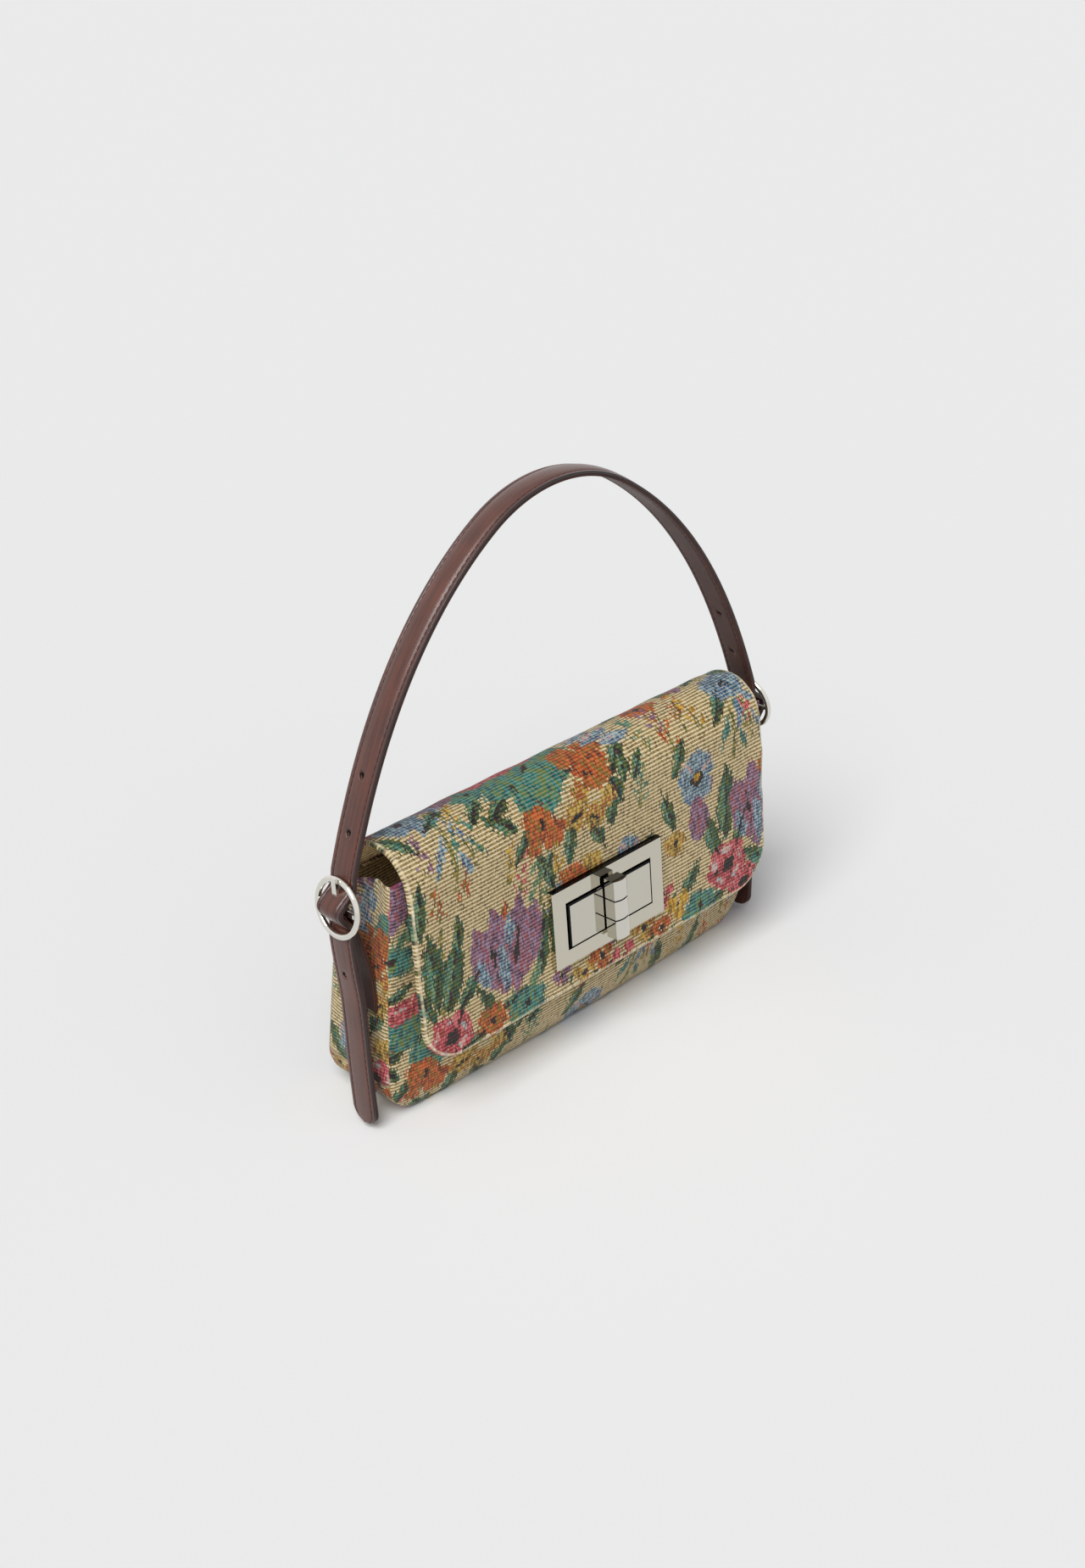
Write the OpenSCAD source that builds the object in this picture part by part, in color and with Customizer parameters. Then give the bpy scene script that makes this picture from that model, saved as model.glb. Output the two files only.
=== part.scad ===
// Flap shoulder bag: a soft fabric body, a turn lock and a leather strap on two ring buckles.
// Millimetres. X runs across the bag, the front faces -Y and Z is up.
// The origin is on the floor, under the middle of the strap.

/* [Body] */
// Width of the body over its gussets
body_w = 274; // [220:1:320]
// Height of the front panel's top edge
body_h = 147.2; // [130:0.1:165]
// Radius of the panels' lower corners
corner_r = 26; // [18:1:34]
// Strap plane to the front panel, near the base at the sides
front_d = 15.5; // [12:0.1:20]
// Strap plane to the back panel, near the base at the sides
back_d = 38; // [34:0.5:44]
// How far the back panel leans forward over its height
back_lean = 18.9; // [14:0.1:22]
// How far the panels draw in under the bag
base_tuck = 3.5; // [0:0.5:8]
// Height over which the panels draw in
tuck_h = 32; // [24:1:50]
// How far the front panel leans forward over its height, at the sides
front_lean = 6.9; // [4:0.1:10]
// Outward crown of the back panel
back_crown = 4; // [1:0.5:8]
// Depth of the inward pleat at the top of each gusset
pleat_d = 11; // [4:0.5:14]
// Height at which the gusset pleat starts
pleat_z = 84; // [80:1:100]
// Thickness of the woven panels
panel_t = 1.6; // [1.2:0.1:2]

/* [Lining] */
// Thickness of the lining
lining_t = 0.8; // [0.5:0.1:1.2]
// Space between lining and panel at the seams
lining_gap = 0.3; // [0.2:0.05:0.5]
// How much less the front lining crowns than the panel, which leaves room for the lock's plate
lining_slack = 3.6; // [3:0.1:5]
// Width of the slip pocket
pocket_w = 140; // [100:1:180]
// Height of the slip pocket's mouth
pocket_top = 112; // [90:1:120]
// Height of the slip pocket's lower edge
pocket_low = 34; // [28:1:45]
// Thickness of the base board
board_t = 1.5; // [1:0.1:2.5]

/* [Flap] */
// How far the flap's sides stand in from the body's sides
flap_in = 7; // [4:0.5:14]
// Thickness of the flap's outer weave
flap_weave_t = 1.5; // [1.2:0.1:1.8]
// Thickness of the flap's stiffener
flap_core_t = 0.6; // [0.4:0.1:0.8]
// Thickness of the flap's lining
flap_lining_t = 1.1; // [0.9:0.1:1.3]
// Straight length of the flap below the fold
flap_drop = 97.6; // [92:0.1:104]
// Outward slant of the flap's front
flap_tilt = 5.5; // [4:0.1:7]
// Space between the fold and the front panel's top
fold_gap = 3.6; // [3:0.1:6]
// Radius of the flap's lower corners
flap_corner_r = 25; // [15:1:35]

/* [Lock] */
// Width of the frame on the flap
frame_w = 82; // [76:0.5:90]
// Height of the frame on the flap
frame_h = 45.7; // [43:0.1:50]
// Width of the frame's rails
frame_rail = 9; // [8:0.1:10]
// Thickness of the frame
frame_t = 4; // [3.4:0.1:4.4]
// Lock centre above the flap's lower edge
lock_up = 41.1; // [38:0.1:46]
// Space between the base block and the frame's window
window_gap = 1.1; // [0.8:0.1:1.6]
// How far the base block stands proud of the frame
base_proud = 0.8; // [0.5:0.1:1.2]
// Length of the turn knob
knob_len = 34.5; // [32:0.1:37]
// Width of the turn knob
knob_w = 9.8; // [9:0.1:11]
// Depth of the turn knob at its sides
knob_d = 6.8; // [5:0.1:8]
// Crown of the turn knob's front
knob_crown = 1.3; // [0.8:0.1:2]
// Radius of the knob's stem
stem_r = 2.5; // [2:0.1:2.8]

/* [Strap] */
// Width of the strap
strap_w = 16.8; // [16:0.1:18]
// Thickness of each leather layer
leather_t = 1.5; // [1.3:0.05:1.6]
// Height of the padded crown along the strap
pad_h = 1.1; // [0.6:0.1:1.4]
// Radius of the strap's crown arc
crown_r = 84; // [76:1:96]
// Half angle of the strap's crown arc
crown_angle = 31.6; // [26:0.1:50]
// Lean of the strap where it enters the buckles
foot_angle = 18; // [14:0.5:21]
// How the bend of the strap's sides gathers towards the crown: 0 is a plain arc
side_bend = 0.52; // [0:0.02:0.8]
// Backward lean of the whole strap about the buckle bars
strap_lean = 2.8; // [0:0.1:5]
// Buckles to the first adjusting hole, above and below
hole_start = 20.8; // [16:0.1:26]
// Distance between the adjusting holes
hole_pitch = 28.7; // [26:0.1:32]
// Radius of the adjusting holes
hole_r = 1.5; // [1.2:0.1:1.8]
// How far the strap's ends stand out from the body's sides
tail_out = 8; // [6:0.5:12]

/* [Buckles] */
// How far each buckle's bar stands out from the body's side
bar_out = 14.7; // [12:0.1:18]
// Height of the buckle bars
bar_z = 133.3; // [126:0.1:138]
// Radius of the buckle bars
bar_r = 1.5; // [1.3:0.1:1.6]
// Outer radius of the buckle rings
ring_r = 16.2; // [15.8:0.1:18]
// Thickness of the ring's round wire
ring_wire = 3.2; // [2.8:0.1:3.4]
// Inward lean of the rings
ring_tilt = 7.8; // [4:0.1:10]
// Width of the leather chape
chape_w = 16; // [14:0.5:18]
// Thickness of the chape's leather
chape_t = 1.1; // [1:0.1:1.2]
// Height at which the chape leaves the gusset
chape_knee = 88; // [84:1:94]
// Height of the chape's lower end
chape_foot = 70; // [60:1:76]

/* [Hidden] */

// Shape of the panels' crown: below 1 it is fuller low down
sag_share = 0.7;

// Fine clearances and overruns
seam_gap = 0.2;
run_gap = 0.3;
lining_in = panel_t + lining_gap;
lining_low = 5;
stem_gap = 0.05;
cut = 2;

// Colours
weave = [0.72, 0.66, 0.47];
weave_dark = [0.55, 0.50, 0.36];
cloth = [0.35, 0.26, 0.20];
leather = [0.30, 0.17, 0.14];
leather_dark = [0.22, 0.12, 0.10];
nickel = [0.78, 0.77, 0.73];
steel = [0.60, 0.61, 0.62];

// Mesh steps
panel_cols = 16;
straight_rows = 8;
corner_rows = 6;
gusset_cols = 8;

// The flap's width, hinge and plane, worked out from the body
flap_w = body_w - 2 * flap_in;
flap_t = flap_weave_t + flap_core_t + flap_lining_t;
hinge_drop = 10;
hinge_z = body_h - hinge_drop;
fold_back_y = back_side(hinge_z);
fold_r = (fold_back_y - front_side(hinge_z) + flap_t + fold_gap) / 2;
fold_y = fold_back_y - fold_r;
hinge_y = fold_back_y - flap_t / 2;
back_top_z = hinge_z - flap_t / 2 - run_gap;
out_y = -cos(flap_tilt);
out_z = sin(flap_tilt);
tangent = [fold_y + fold_r * out_y, hinge_z + fold_r * out_z];
lock_run = flap_drop - lock_up;
lock_at = [0, tangent[0] - lock_run * sin(flap_tilt), tangent[1] - lock_run * cos(flap_tilt)];

// The front panel crowns out until it lies just behind the lock's base
flange_t = 0.8;
flange_seat = 0.2;
panel_depth = flap_t + run_gap + flange_t + flange_seat;
crown_front_y = lock_at[1] + panel_depth;
front_crown = (front_side(lock_at[2]) - crown_front_y) / dome_rise(lock_at[2]);

// How far the stiffener stands in from the flap's edges
core_side_in = 3;

// Lock sizes that follow the frame
window_w = frame_w - 2 * frame_rail;
window_h = frame_h - 2 * frame_rail;
base_w = window_w - 2 * window_gap;
base_h = window_h - 2 * window_gap;
base_top = frame_t + base_proud;
knob_lift = 0.8;
knob_seat = base_top + knob_lift;
clamp_margin = 2;
clamp_rail = 3.5;
clamp_t = 1;
flange_margin = 2;
frame_edge = 0.4;
cast_t = 1.2;
post_r = 1.1;
screw_head_r = 1.9;
screw_head_t = 0.6;
rivet_r = 1.1;
rivet_head_r = 2;
base_dx = base_w / 2 - 3 * rivet_r;
base_dy = base_h / 2 - 3 * rivet_r;
rivet_head_t = 0.5;
plate_drop = 1.5;
pocket_depth = 3.4;
clip_r = 5;
clip_t = 0.8;
leaf_t = 0.6;
leaf_len = base_w - 2 * cast_t - run_gap;
leaf_h = 1;
leaf_gap = 0.1;
groove_w = 0.9;
groove_d = 0.45;
block_edge = 0.5;

// Buckle and strap sizes that follow each other
bar_x = body_w / 2 + bar_out;
bore_gap = 0.15;
loop_r = bar_r + bore_gap + chape_t;
ring_mid = ring_r - ring_wire / 2;
behind = -(ring_wire / 2 + run_gap + leather_t);
over = loop_r + 2 * run_gap + leather_t;
weave_reach = sqrt(pow(ring_mid, 2) - pow(strap_w / 2, 2)) - 2 * run_gap;
buckle_reach = ring_r + 1;
tail_foot_x = body_w / 2 + tail_out;
tail_foot_z = 3.5;
tail_round = 8;
tongue_w = 3.4;
tongue_t = 1.6;
tongue_tip = 0.8;
slot_w = tongue_w + 2 * run_gap;
tongue_seat = ring_wire / 2 + bore_gap + tongue_t / 2;
tongue_lean = 90 - asin(tongue_seat / ring_mid);
tongue_swing = 12;
chape_slot = tongue_w + 4 * run_gap;

// Side lines of the body, at its gusset seams
function tuck(z) = base_tuck * pow(max(0, 1 - z / tuck_h), 2.5);
function front_side(z) = -front_d - front_lean * pow(z / body_h, 2) + tuck(z);
function back_side(z) = back_d - back_lean * z / body_h - tuck(z);

// Half width of the body at a height, set in by an inset
function corner_in(z, inset) =
    z >= corner_r ? 0 : (corner_r - inset) - sqrt(max(0, pow(corner_r - inset, 2) - pow(corner_r - z, 2)));
function half_w(z, inset) = body_w / 2 - inset - corner_in(z, inset);

// Crown of a panel: none at its seams, fullest in the middle and a little below half height
function dome_rise(z) = max(0, sin(180 * pow(z / body_h, sag_share)));
function dome(x, z, inset) = (1 - pow(x / half_w(z, inset), 2)) * dome_rise(z);

// Heights of the rows of a panel, from its base to a top
function corner_zs(inset) =
    [for (i = [0:corner_rows - 1]) corner_r - (corner_r - inset) * cos(90 * i / corner_rows)];
function row_zs(inset, top) =
    concat(corner_zs(inset), [for (i = [0:straight_rows]) corner_r + (top - corner_r) * i / straight_rows]);

// A closed solid between two grids of points, the first facing outwards
module sheet(outer, inner) {
    m = len(outer);
    n = len(outer[0]);
    far = m * n;
    points = concat([for (row = outer) each row], [for (row = inner) each row]);
    skin = [for (i = [0:m - 2], j = [0:n - 2]) let (a = i * n + j)
        each [[a, a + 1, a + n + 1], [a, a + n + 1, a + n]]];
    back = [for (f = skin) [f[2] + far, f[1] + far, f[0] + far]];
    low = [for (j = [0:n - 2]) each [[j, j + far, j + 1 + far], [j, j + 1 + far, j + 1]]];
    high = [for (j = [0:n - 2]) let (a = (m - 1) * n + j)
        each [[a + 1, a + 1 + far, a + far], [a + 1, a + far, a]]];
    left = [for (i = [0:m - 2]) let (a = i * n)
        each [[a + n, a + n + far, a + far], [a + n, a + far, a]]];
    right = [for (i = [0:m - 2]) let (a = i * n + n - 1)
        each [[a, a + far, a + n + far], [a, a + n + far, a + n]]];
    polyhedron(points, concat(skin, back, low, high, left, right));
}

// Grids of the front and back, facing outwards, at an inset and with a crown
function front_grid(inset, top, crown, cols = panel_cols) =
    [for (z = row_zs(inset, top)) [for (j = [0:cols]) let (x = half_w(z, inset) * (2 * j / cols - 1))
        [x, front_side(z) + inset - crown * dome(x, z, inset), z]]];
function back_grid(inset, top, crown, cols = panel_cols) =
    [for (z = row_zs(inset, top)) [for (j = [0:cols]) let (x = half_w(z, inset) * (1 - 2 * j / cols))
        [x, back_side(z) - inset + crown * dome(x, z, inset), z]]];
function shifted(grid, step) = [for (row = grid) [for (p = row) p + step]];

module front_panel() {
    outer = front_grid(0, body_h, front_crown);
    color(weave) difference() {
        sheet(outer, shifted(outer, [0, panel_t, 0]));
        at_lock() base_posts(rivet_r + stem_gap, 4 * panel_t, -panel_depth - 3 * panel_t);
    }
}

module back_panel() {
    outer = back_grid(0, back_top_z, back_crown);
    color(weave) sheet(outer, shifted(outer, [0, -panel_t, 0]));
}

// Gusset: a strip down the side and round the lower corner, pleated inwards at the top.
// The share v runs from the front seam, 0, to the back seam, 1.
function pleat(z, v) =
    pleat_d * pow(max(0, (z - pleat_z) / (body_h - pleat_z)), 1.5) * (1 - cos(360 * v)) / 2;
function gusset_top(v, low) = body_h - low - (hinge_drop + flap_t) * v;
function strip_y(z, v, edge) = (front_side(z) + edge) * (1 - v) + (back_side(z) - edge) * v;
function gusset_grid(inset, edge, low) = concat(
    [for (i = [0:corner_rows - 1]) let (a = 90 * i / corner_rows, r = corner_r - inset)
        [for (j = [0:gusset_cols]) let (v = j / gusset_cols, z = corner_r - r * cos(a))
            [-(body_w / 2 - corner_r + r * sin(a)), strip_y(z, v, edge), z]]],
    [for (i = [0:straight_rows]) [for (j = [0:gusset_cols]) let (
        v = j / gusset_cols,
        z = corner_r + (gusset_top(v, low) - corner_r) * i / straight_rows)
        [-(body_w / 2 - inset - pleat(z, v)), strip_y(z, v, edge), z]]]);
function flipped(grid) = [for (row = grid) [for (j = [len(row) - 1:-1:0]) row[j]]];

module gusset() {
    edge = panel_t + seam_gap;
    low = 2;
    outer = flipped(gusset_grid(0, edge, low));
    color(weave_dark) sheet(outer, flipped(gusset_grid(panel_t, edge, low)));
}

module left_gusset() gusset();
module right_gusset() mirror([1, 0, 0]) gusset();

module bottom_panel() {
    half = body_w / 2 - corner_r - seam_gap;
    y0 = front_side(0) + panel_t + seam_gap;
    y1 = back_side(0) - panel_t - seam_gap;
    color(weave_dark) translate([-half, y0, 0]) cube([2 * half, y1 - y0, panel_t]);
}

// Lining pieces, each set in from the weave

module front_lining() {
    outer = front_grid(lining_in, body_h - lining_low, front_crown - lining_slack);
    color(cloth) sheet(outer, shifted(outer, [0, lining_t, 0]));
}

module back_lining() {
    outer = back_grid(lining_in, back_top_z - lining_low, back_crown);
    color(cloth) sheet(outer, shifted(outer, [0, -lining_t, 0]));
}

module gusset_lining() {
    edge = lining_in + lining_t + seam_gap;
    side = gusset_grid(lining_in, edge, 2 * lining_low);
    inside = gusset_grid(lining_in + lining_t, edge, 2 * lining_low);
    color(cloth) for (s = [0, 1]) mirror([s, 0, 0])
        sheet(flipped(with_middle(side)), flipped(with_middle(inside)));
}
function with_middle(grid) = concat([[for (p = grid[0]) [0, p[1], p[2]]]], grid);

// Slip pocket on the back lining, open at its top
module slip_pocket() {
    rows = 6;
    cols = 8;
    inset = lining_in + lining_t + 2 * run_gap;
    outer = [for (i = [0:rows]) let (z = pocket_low + (pocket_top - pocket_low) * i / rows)
        [for (j = [0:cols]) let (x = pocket_w * (1 / 2 - j / cols))
            [x, back_side(z) - inset + back_crown * dome(x, z, inset), z]]];
    color(cloth) sheet(outer, shifted(outer, [0, -lining_t, 0]));
}

module base_board() {
    z0 = lining_in + lining_t + seam_gap;
    half = body_w / 2 - corner_r - seam_gap;
    y0 = front_side(z0) + lining_in + lining_t + seam_gap;
    y1 = back_side(z0) - lining_in - lining_t - seam_gap;
    color(leather_dark) translate([-half, y0, z0]) cube([2 * half, y1 - y0, board_t]);
}

// Flap: three layers that share one section, an arc over the top and a slanted straight.
// A depth counts inwards from the weave's face, and a fill is all that lies deeper.
module flap_fill(depth, w) rotate([90, 0, 90]) {
    face = tangent - depth * [out_y, out_z];
    down = flap_drop * [-out_z, out_y];
    translate([fold_y, hinge_z]) cylinder(r = fold_r - depth, h = w, center = true, $fn = 120);
    linear_extrude(w, center = true)
        polygon([face, face + down, [fold_y, hinge_z] + down, [fold_y, hinge_z]]);
}
module flap_layer_solid(from, to) difference() {
    flap_fill(from, flap_w);
    flap_fill(to, flap_w + 2 * cut);
    rotate([90, 0, 90]) linear_extrude(flap_w + 2 * cut, center = true)
        translate([fold_y, hinge_z]) polygon([[0, 0], [2 * fold_r, 0], [2 * fold_r, -2 * fold_r],
            2 * fold_r * [-out_z, out_y]]);
}

// Places its children on the flap's face at the lock: Y up the flap, Z straight out of it
module at_lock() translate(lock_at) rotate([90 - flap_tilt, 0, 0]) children();

module flap_outline(side_in) {
    w = flap_w - 2 * side_in;
    r = flap_corner_r - side_in;
    tall = lock_up - side_in;
    up = flap_drop + 2 * fold_r;
    translate([-w / 2, r - tall]) square([w, up]);
    translate([r - w / 2, -tall]) square([w - 2 * r, r]);
    for (s = [-1, 1]) translate([s * (w / 2 - r), r - tall]) circle(r = r, $fn = 90);
}

module flap_layer(from, to, side_in) difference() {
    intersection() {
        flap_layer_solid(from, to);
        at_lock() linear_extrude(4 * fold_r, center = true) flap_outline(side_in);
    }
    at_lock() linear_extrude(4 * flap_t, center = true)
        square([window_w + 2 * window_gap, window_h + 2 * window_gap], center = true);
    at_lock() frame_posts(post_r + stem_gap, 4 * flap_t, -2 * flap_t);
}

module frame_posts(r, h, z) {
    dx = (window_w + frame_rail) / 2;
    dy = (window_h + frame_rail) / 2;
    for (x = [-dx, dx], y = [-dy, dy]) translate([x, y, z]) cylinder(r = r, h = h, $fn = 24);
}

module flap_panel() color(weave) {
    flap_layer(0, flap_weave_t, 0);
    translate([0, hinge_y, hinge_z]) rotate([0, 90, 0])
        cylinder(r = flap_t / 2, h = flap_w, center = true, $fn = 32);
}
module flap_stiffener() color(cloth) difference() {
    flap_layer(flap_weave_t, flap_weave_t + flap_core_t, core_side_in);
    hinge_roll_cut();
}
module flap_lining() color(cloth) difference() {
    flap_layer(flap_t - flap_lining_t, flap_t, 0);
    hinge_roll_cut();
}
module hinge_roll_cut() translate([0, hinge_y, hinge_z]) rotate([0, 90, 0])
    cylinder(r = flap_t / 2, h = flap_w + 2 * cut, center = true, $fn = 32);

// A plate with its front edges bevelled, by crossing two bevelled bars
module bevelled_plate(w, h, t, edge) intersection() {
    rotate([90, 0, 0]) linear_extrude(h, center = true) bevel_profile(w, t, edge);
    rotate([90, 0, 90]) linear_extrude(w, center = true) bevel_profile(h, t, edge);
}
module bevel_profile(w, t, edge)
    polygon([[-w / 2, 0], [w / 2, 0], [w / 2, t - edge], [w / 2 - edge, t], [edge - w / 2, t], [-w / 2, t - edge]]);

module lock_frame() color(nickel) at_lock() {
    difference() {
        bevelled_plate(frame_w, frame_h, frame_t, frame_edge);
        linear_extrude(4 * frame_t, center = true) square([window_w, window_h], center = true);
        translate([0, 0, -cut]) linear_extrude(cut + frame_t - cast_t) difference() {
            square([frame_w - 2 * cast_t, frame_h - 2 * cast_t], center = true);
            square([window_w + 2 * cast_t, window_h + 2 * cast_t], center = true);
        }
    }
    post_foot = flap_t + clamp_t - screw_head_t;
    frame_posts(post_r, post_foot + frame_t - cast_t / 2, -post_foot);
}

module frame_backplate() color(steel) at_lock() difference() {
    tall = frame_h - 2 * clamp_margin;
    translate([0, 0, -flap_t - clamp_t]) linear_extrude(clamp_t) difference() {
        square([frame_w - 2 * clamp_margin, tall], center = true);
        square([window_w + clamp_margin, tall - 2 * clamp_rail], center = true);
    }
    frame_posts(post_r + stem_gap, 4 * flap_t, -3 * flap_t);
    frame_posts(screw_head_r + stem_gap, cut + screw_head_t, -flap_t - clamp_t - cut);
}

module frame_screws() color(steel) at_lock() difference() {
    frame_posts(screw_head_r, screw_head_t, -flap_t - clamp_t);
    frame_posts(post_r / 2, screw_head_t, -flap_t - clamp_t - screw_head_t / 2);
}

// Base block on the body, which stands through the frame's window and carries the knob
module base_posts(r, h, z) {
    for (x = [-base_dx, base_dx], y = [-base_dy, base_dy]) translate([x, y, z])
        cylinder(r = r, h = h, $fn = 24);
}
base_back = -(flap_t + run_gap + flange_t);
module lock_base() color(nickel) at_lock() difference() {
    union() {
        translate([0, 0, base_back]) bevelled_plate(base_w, base_h, base_top - base_back, block_edge);
        translate([0, 0, base_back]) linear_extrude(flange_t)
            square([base_w + flange_margin, base_h + flange_margin], center = true);
    }
    translate([0, 0, base_back - cut]) cylinder(r = stem_r + stem_gap, h = 2 * cut + base_top - base_back, $fn = 48);
    translate([0, 0, base_back - cut]) linear_extrude(cut + base_top - cast_t - base_back) difference() {
        square([base_w - 2 * cast_t, base_h - 2 * cast_t], center = true);
        circle(r = stem_r + cast_t, $fn = 48);
        for (x = [-base_dx, base_dx], y = [-base_dy, base_dy]) translate([x, y])
            square(4 * rivet_r, center = true);
    }
    translate([0, 0, base_back - cut]) cylinder(r = clip_r + cast_t, h = pocket_depth + cut, $fn = 48);
    base_posts(rivet_r + stem_gap, cut + 2 * flange_t, base_back - cut);
}

plate_front = -panel_depth - panel_t - plate_drop;
module base_backplate() color(steel) at_lock() difference() {
    translate([0, 0, plate_front - clamp_t]) linear_extrude(clamp_t)
        square([base_w + flange_margin, base_h + flange_margin], center = true);
    base_posts(rivet_r + stem_gap, 2 * cut + clamp_t, plate_front - clamp_t - cut);
}

module base_rivets() color(steel) at_lock() {
    foot = plate_front - clamp_t;
    base_posts(rivet_r, base_back + 2 * flange_t - foot, foot);
    base_posts(rivet_head_r, rivet_head_t, foot - rivet_head_t);
}

// Turn knob: a flat-sided bar with a crowned front and two grooves, on a round stem.
// A depth counts inwards from the knob's sides and front.
module knob_bar(depth, len, foot) {
    crown_rad = (pow(knob_w / 2, 2) + pow(knob_crown, 2)) / (2 * knob_crown);
    half = knob_w / 2 - depth;
    translate([-half, -len / 2, foot]) cube([2 * half, len, knob_seat + knob_d - depth - foot]);
    intersection() {
        translate([0, 0, knob_seat + knob_d + knob_crown - crown_rad]) rotate([90, 0, 0])
            cylinder(r = crown_rad - depth, h = len, center = true, $fn = 96);
        translate([-half, -len / 2, knob_seat + knob_d / 2]) cube([2 * half, len, knob_d]);
    }
}
module knob_groove() difference() {
    translate([-knob_w, -groove_w / 2, knob_seat - cut]) cube([2 * knob_w, groove_w, 2 * knob_d]);
    knob_bar(groove_d, 2 * groove_w, knob_seat - 2 * cut);
}
module turn_knob() color(nickel) at_lock() {
    difference() {
        knob_bar(0, knob_len, knob_seat);
        for (s = [-1, 1]) translate([0, s * knob_len / 6, 0]) knob_groove();
    }
    stem_foot = base_back + run_gap;
    translate([0, 0, stem_foot]) cylinder(r = stem_r, h = knob_seat - stem_foot + knob_d / 2, $fn = 48);
}

clip_z = base_back + 2 * run_gap;
module knob_clip() color(steel) at_lock() translate([0, 0, clip_z]) linear_extrude(clip_t)
    difference() {
        circle(r = clip_r, $fn = 48);
        circle(r = stem_r + stem_gap / 5, $fn = 48);
    }

module detent_spring() color(steel) at_lock() {
    reach = stem_r + leaf_gap;
    translate([0, 0, clip_z + clip_t + run_gap]) linear_extrude(leaf_h) {
        for (s = [-1, 1]) translate([-leaf_len / 2, s * (reach + leaf_t / 2) - leaf_t / 2])
            square([leaf_len, leaf_t]);
        translate([leaf_len / 2 - leaf_t, -reach]) square([leaf_t, 2 * reach]);
    }
}

// Route of the strap's middle layer in XZ, from the top of the arch down the right side
function turned(p) = [bar_x + p[0] * cos(ring_tilt) - p[1] * sin(ring_tilt),
    bar_z + p[0] * sin(ring_tilt) + p[1] * cos(ring_tilt)];
function bump(q) = abs(q) >= weave_reach ? 0 : (1 + cos(180 * q / weave_reach)) / 2;
function through(q) = turned([behind + (over - behind) * bump(q), q]);
strap_foot = through(buckle_reach);
crown_steps = 7;
side_steps = 12;
bend_steps = 24;
tail_steps = 4;
tip_steps = 4;
fine_steps = 4;
side_fine = side_steps * fine_steps;
crown_fall = crown_r * (1 - cos(crown_angle));

// The sides turn from the crown's end to the foot: a direction at a share u of their length
function side_dir(u) = let (a = crown_angle + (90 - foot_angle - crown_angle) * (u + side_bend * u * (1 - u)))
    [cos(a), -sin(a)];
function side_sum(n) = n == 0 ? [0, 0] : side_sum(n - 1) + side_dir((n - 1 / 2) / side_fine) / side_fine;
side_len = (strap_foot[0] - crown_r * sin(crown_angle)) / side_sum(side_fine)[0];
arch_z = strap_foot[1] + crown_fall - side_len * side_sum(side_fine)[1];
crown_end = [crown_r * sin(crown_angle), arch_z - crown_fall];

function crown_arc() = [for (i = [0:crown_steps]) let (a = crown_angle * i / crown_steps)
    [crown_r * sin(a), arch_z - crown_r * (1 - cos(a))]];
function side_arc() = [for (i = [1:side_steps]) crown_end + side_len * side_sum(i * fine_steps)];
function bends() = [for (i = [1:bend_steps - 1]) through(buckle_reach * (1 - 2 * i / bend_steps))];
tail_start = through(-buckle_reach);
tail_end = [tail_foot_x, tail_foot_z];
tail_len = norm(tail_end - tail_start);
function tail() = [for (i = [0:tail_steps]) tail_start + (tail_end - tail_start) * (i / tail_steps)
    * (1 - tail_round / tail_len)];
function tip() = [for (i = [1:tip_steps]) tail_end
    - (tail_end - tail_start) * (tail_round / tail_len) * (1 - sin(90 * i / tip_steps))];
half_route = concat(crown_arc(), side_arc(), bends(), tail(), tip());
arch_count = crown_steps + side_steps + 1;

// Half width of the strap: full, then round at the tip
function strap_half(i) = let (k = i - (len(half_route) - 1 - tip_steps))
    k <= 0 ? strap_w / 2 : strap_w / 2 * max(0.25, sqrt(1 - pow(sin(90 * k / tip_steps), 2)));
function heading(line, i) = let (
    a = line[max(0, i - 1)], b = line[min(len(line) - 1, i + 1)], d = b - a) d / norm(d);
function route_normal(line, i) = let (d = heading(line, i)) [-d[1], d[0]];

// Rows of the strap from the left tip over the arch to the right tip, lifted off the middle layer.
// The lift has a part over the whole width and a part that swells in the middle.
strap_cols = 4;
function swell_share(i) = i < crown_steps + side_steps - 5 ? 1
    : max(0, 1 - (i - crown_steps - side_steps + 6) / 5);
function strap_row(i, side, lift, swell) = let (
    p = half_route[i],
    d = i == 0 ? [1, 0] : heading(half_route, i),
    n = [-d[1], d[0]])
    [for (j = [0:strap_cols]) let (
        v = 2 * j / strap_cols - 1,
        up = lift + swell * swell_share(i) * (1 - pow(v, 2)),
        q = p + up * n)
        [side * q[0], side * -v * strap_half(i), q[1]]];
function strap_grid(first, last, lift, swell) = concat(
    [for (i = [last:-1:first]) [for (p = flip_row(strap_row(i, 1, lift, swell))) [-p[0], p[1], p[2]]]],
    [for (i = [max(1, first):last]) strap_row(i, 1, lift, swell)]);
function flip_row(row) = row;

// Places along the half route, by length from the top of the arch
function lengths() = [for (i = 0, s = 0; i < len(half_route);
    s = s + (i + 1 < len(half_route) ? norm(half_route[i + 1] - half_route[i]) : 0), i = i + 1) s];
run = lengths();
function place(s) = [lookup(s, [for (i = [0:len(run) - 1]) [run[i], half_route[i][0]]]),
    lookup(s, [for (i = [0:len(run) - 1]) [run[i], half_route[i][1]]])];
foot_station = run[arch_count - 1];
tail_station = run[arch_count + bend_steps - 1];

module hole_through(s, r) {
    p = place(s);
    d = place(s + leather_t) - place(s - leather_t);
    for (side = [-1, 1]) mirror([side < 0 ? 1 : 0, 0, 0]) translate([p[0], 0, p[1]])
        rotate([0, 180 - atan2(d[1], d[0]), 0])
            cylinder(r = r, h = 8 * leather_t, center = true, $fn = 24);
}

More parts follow.
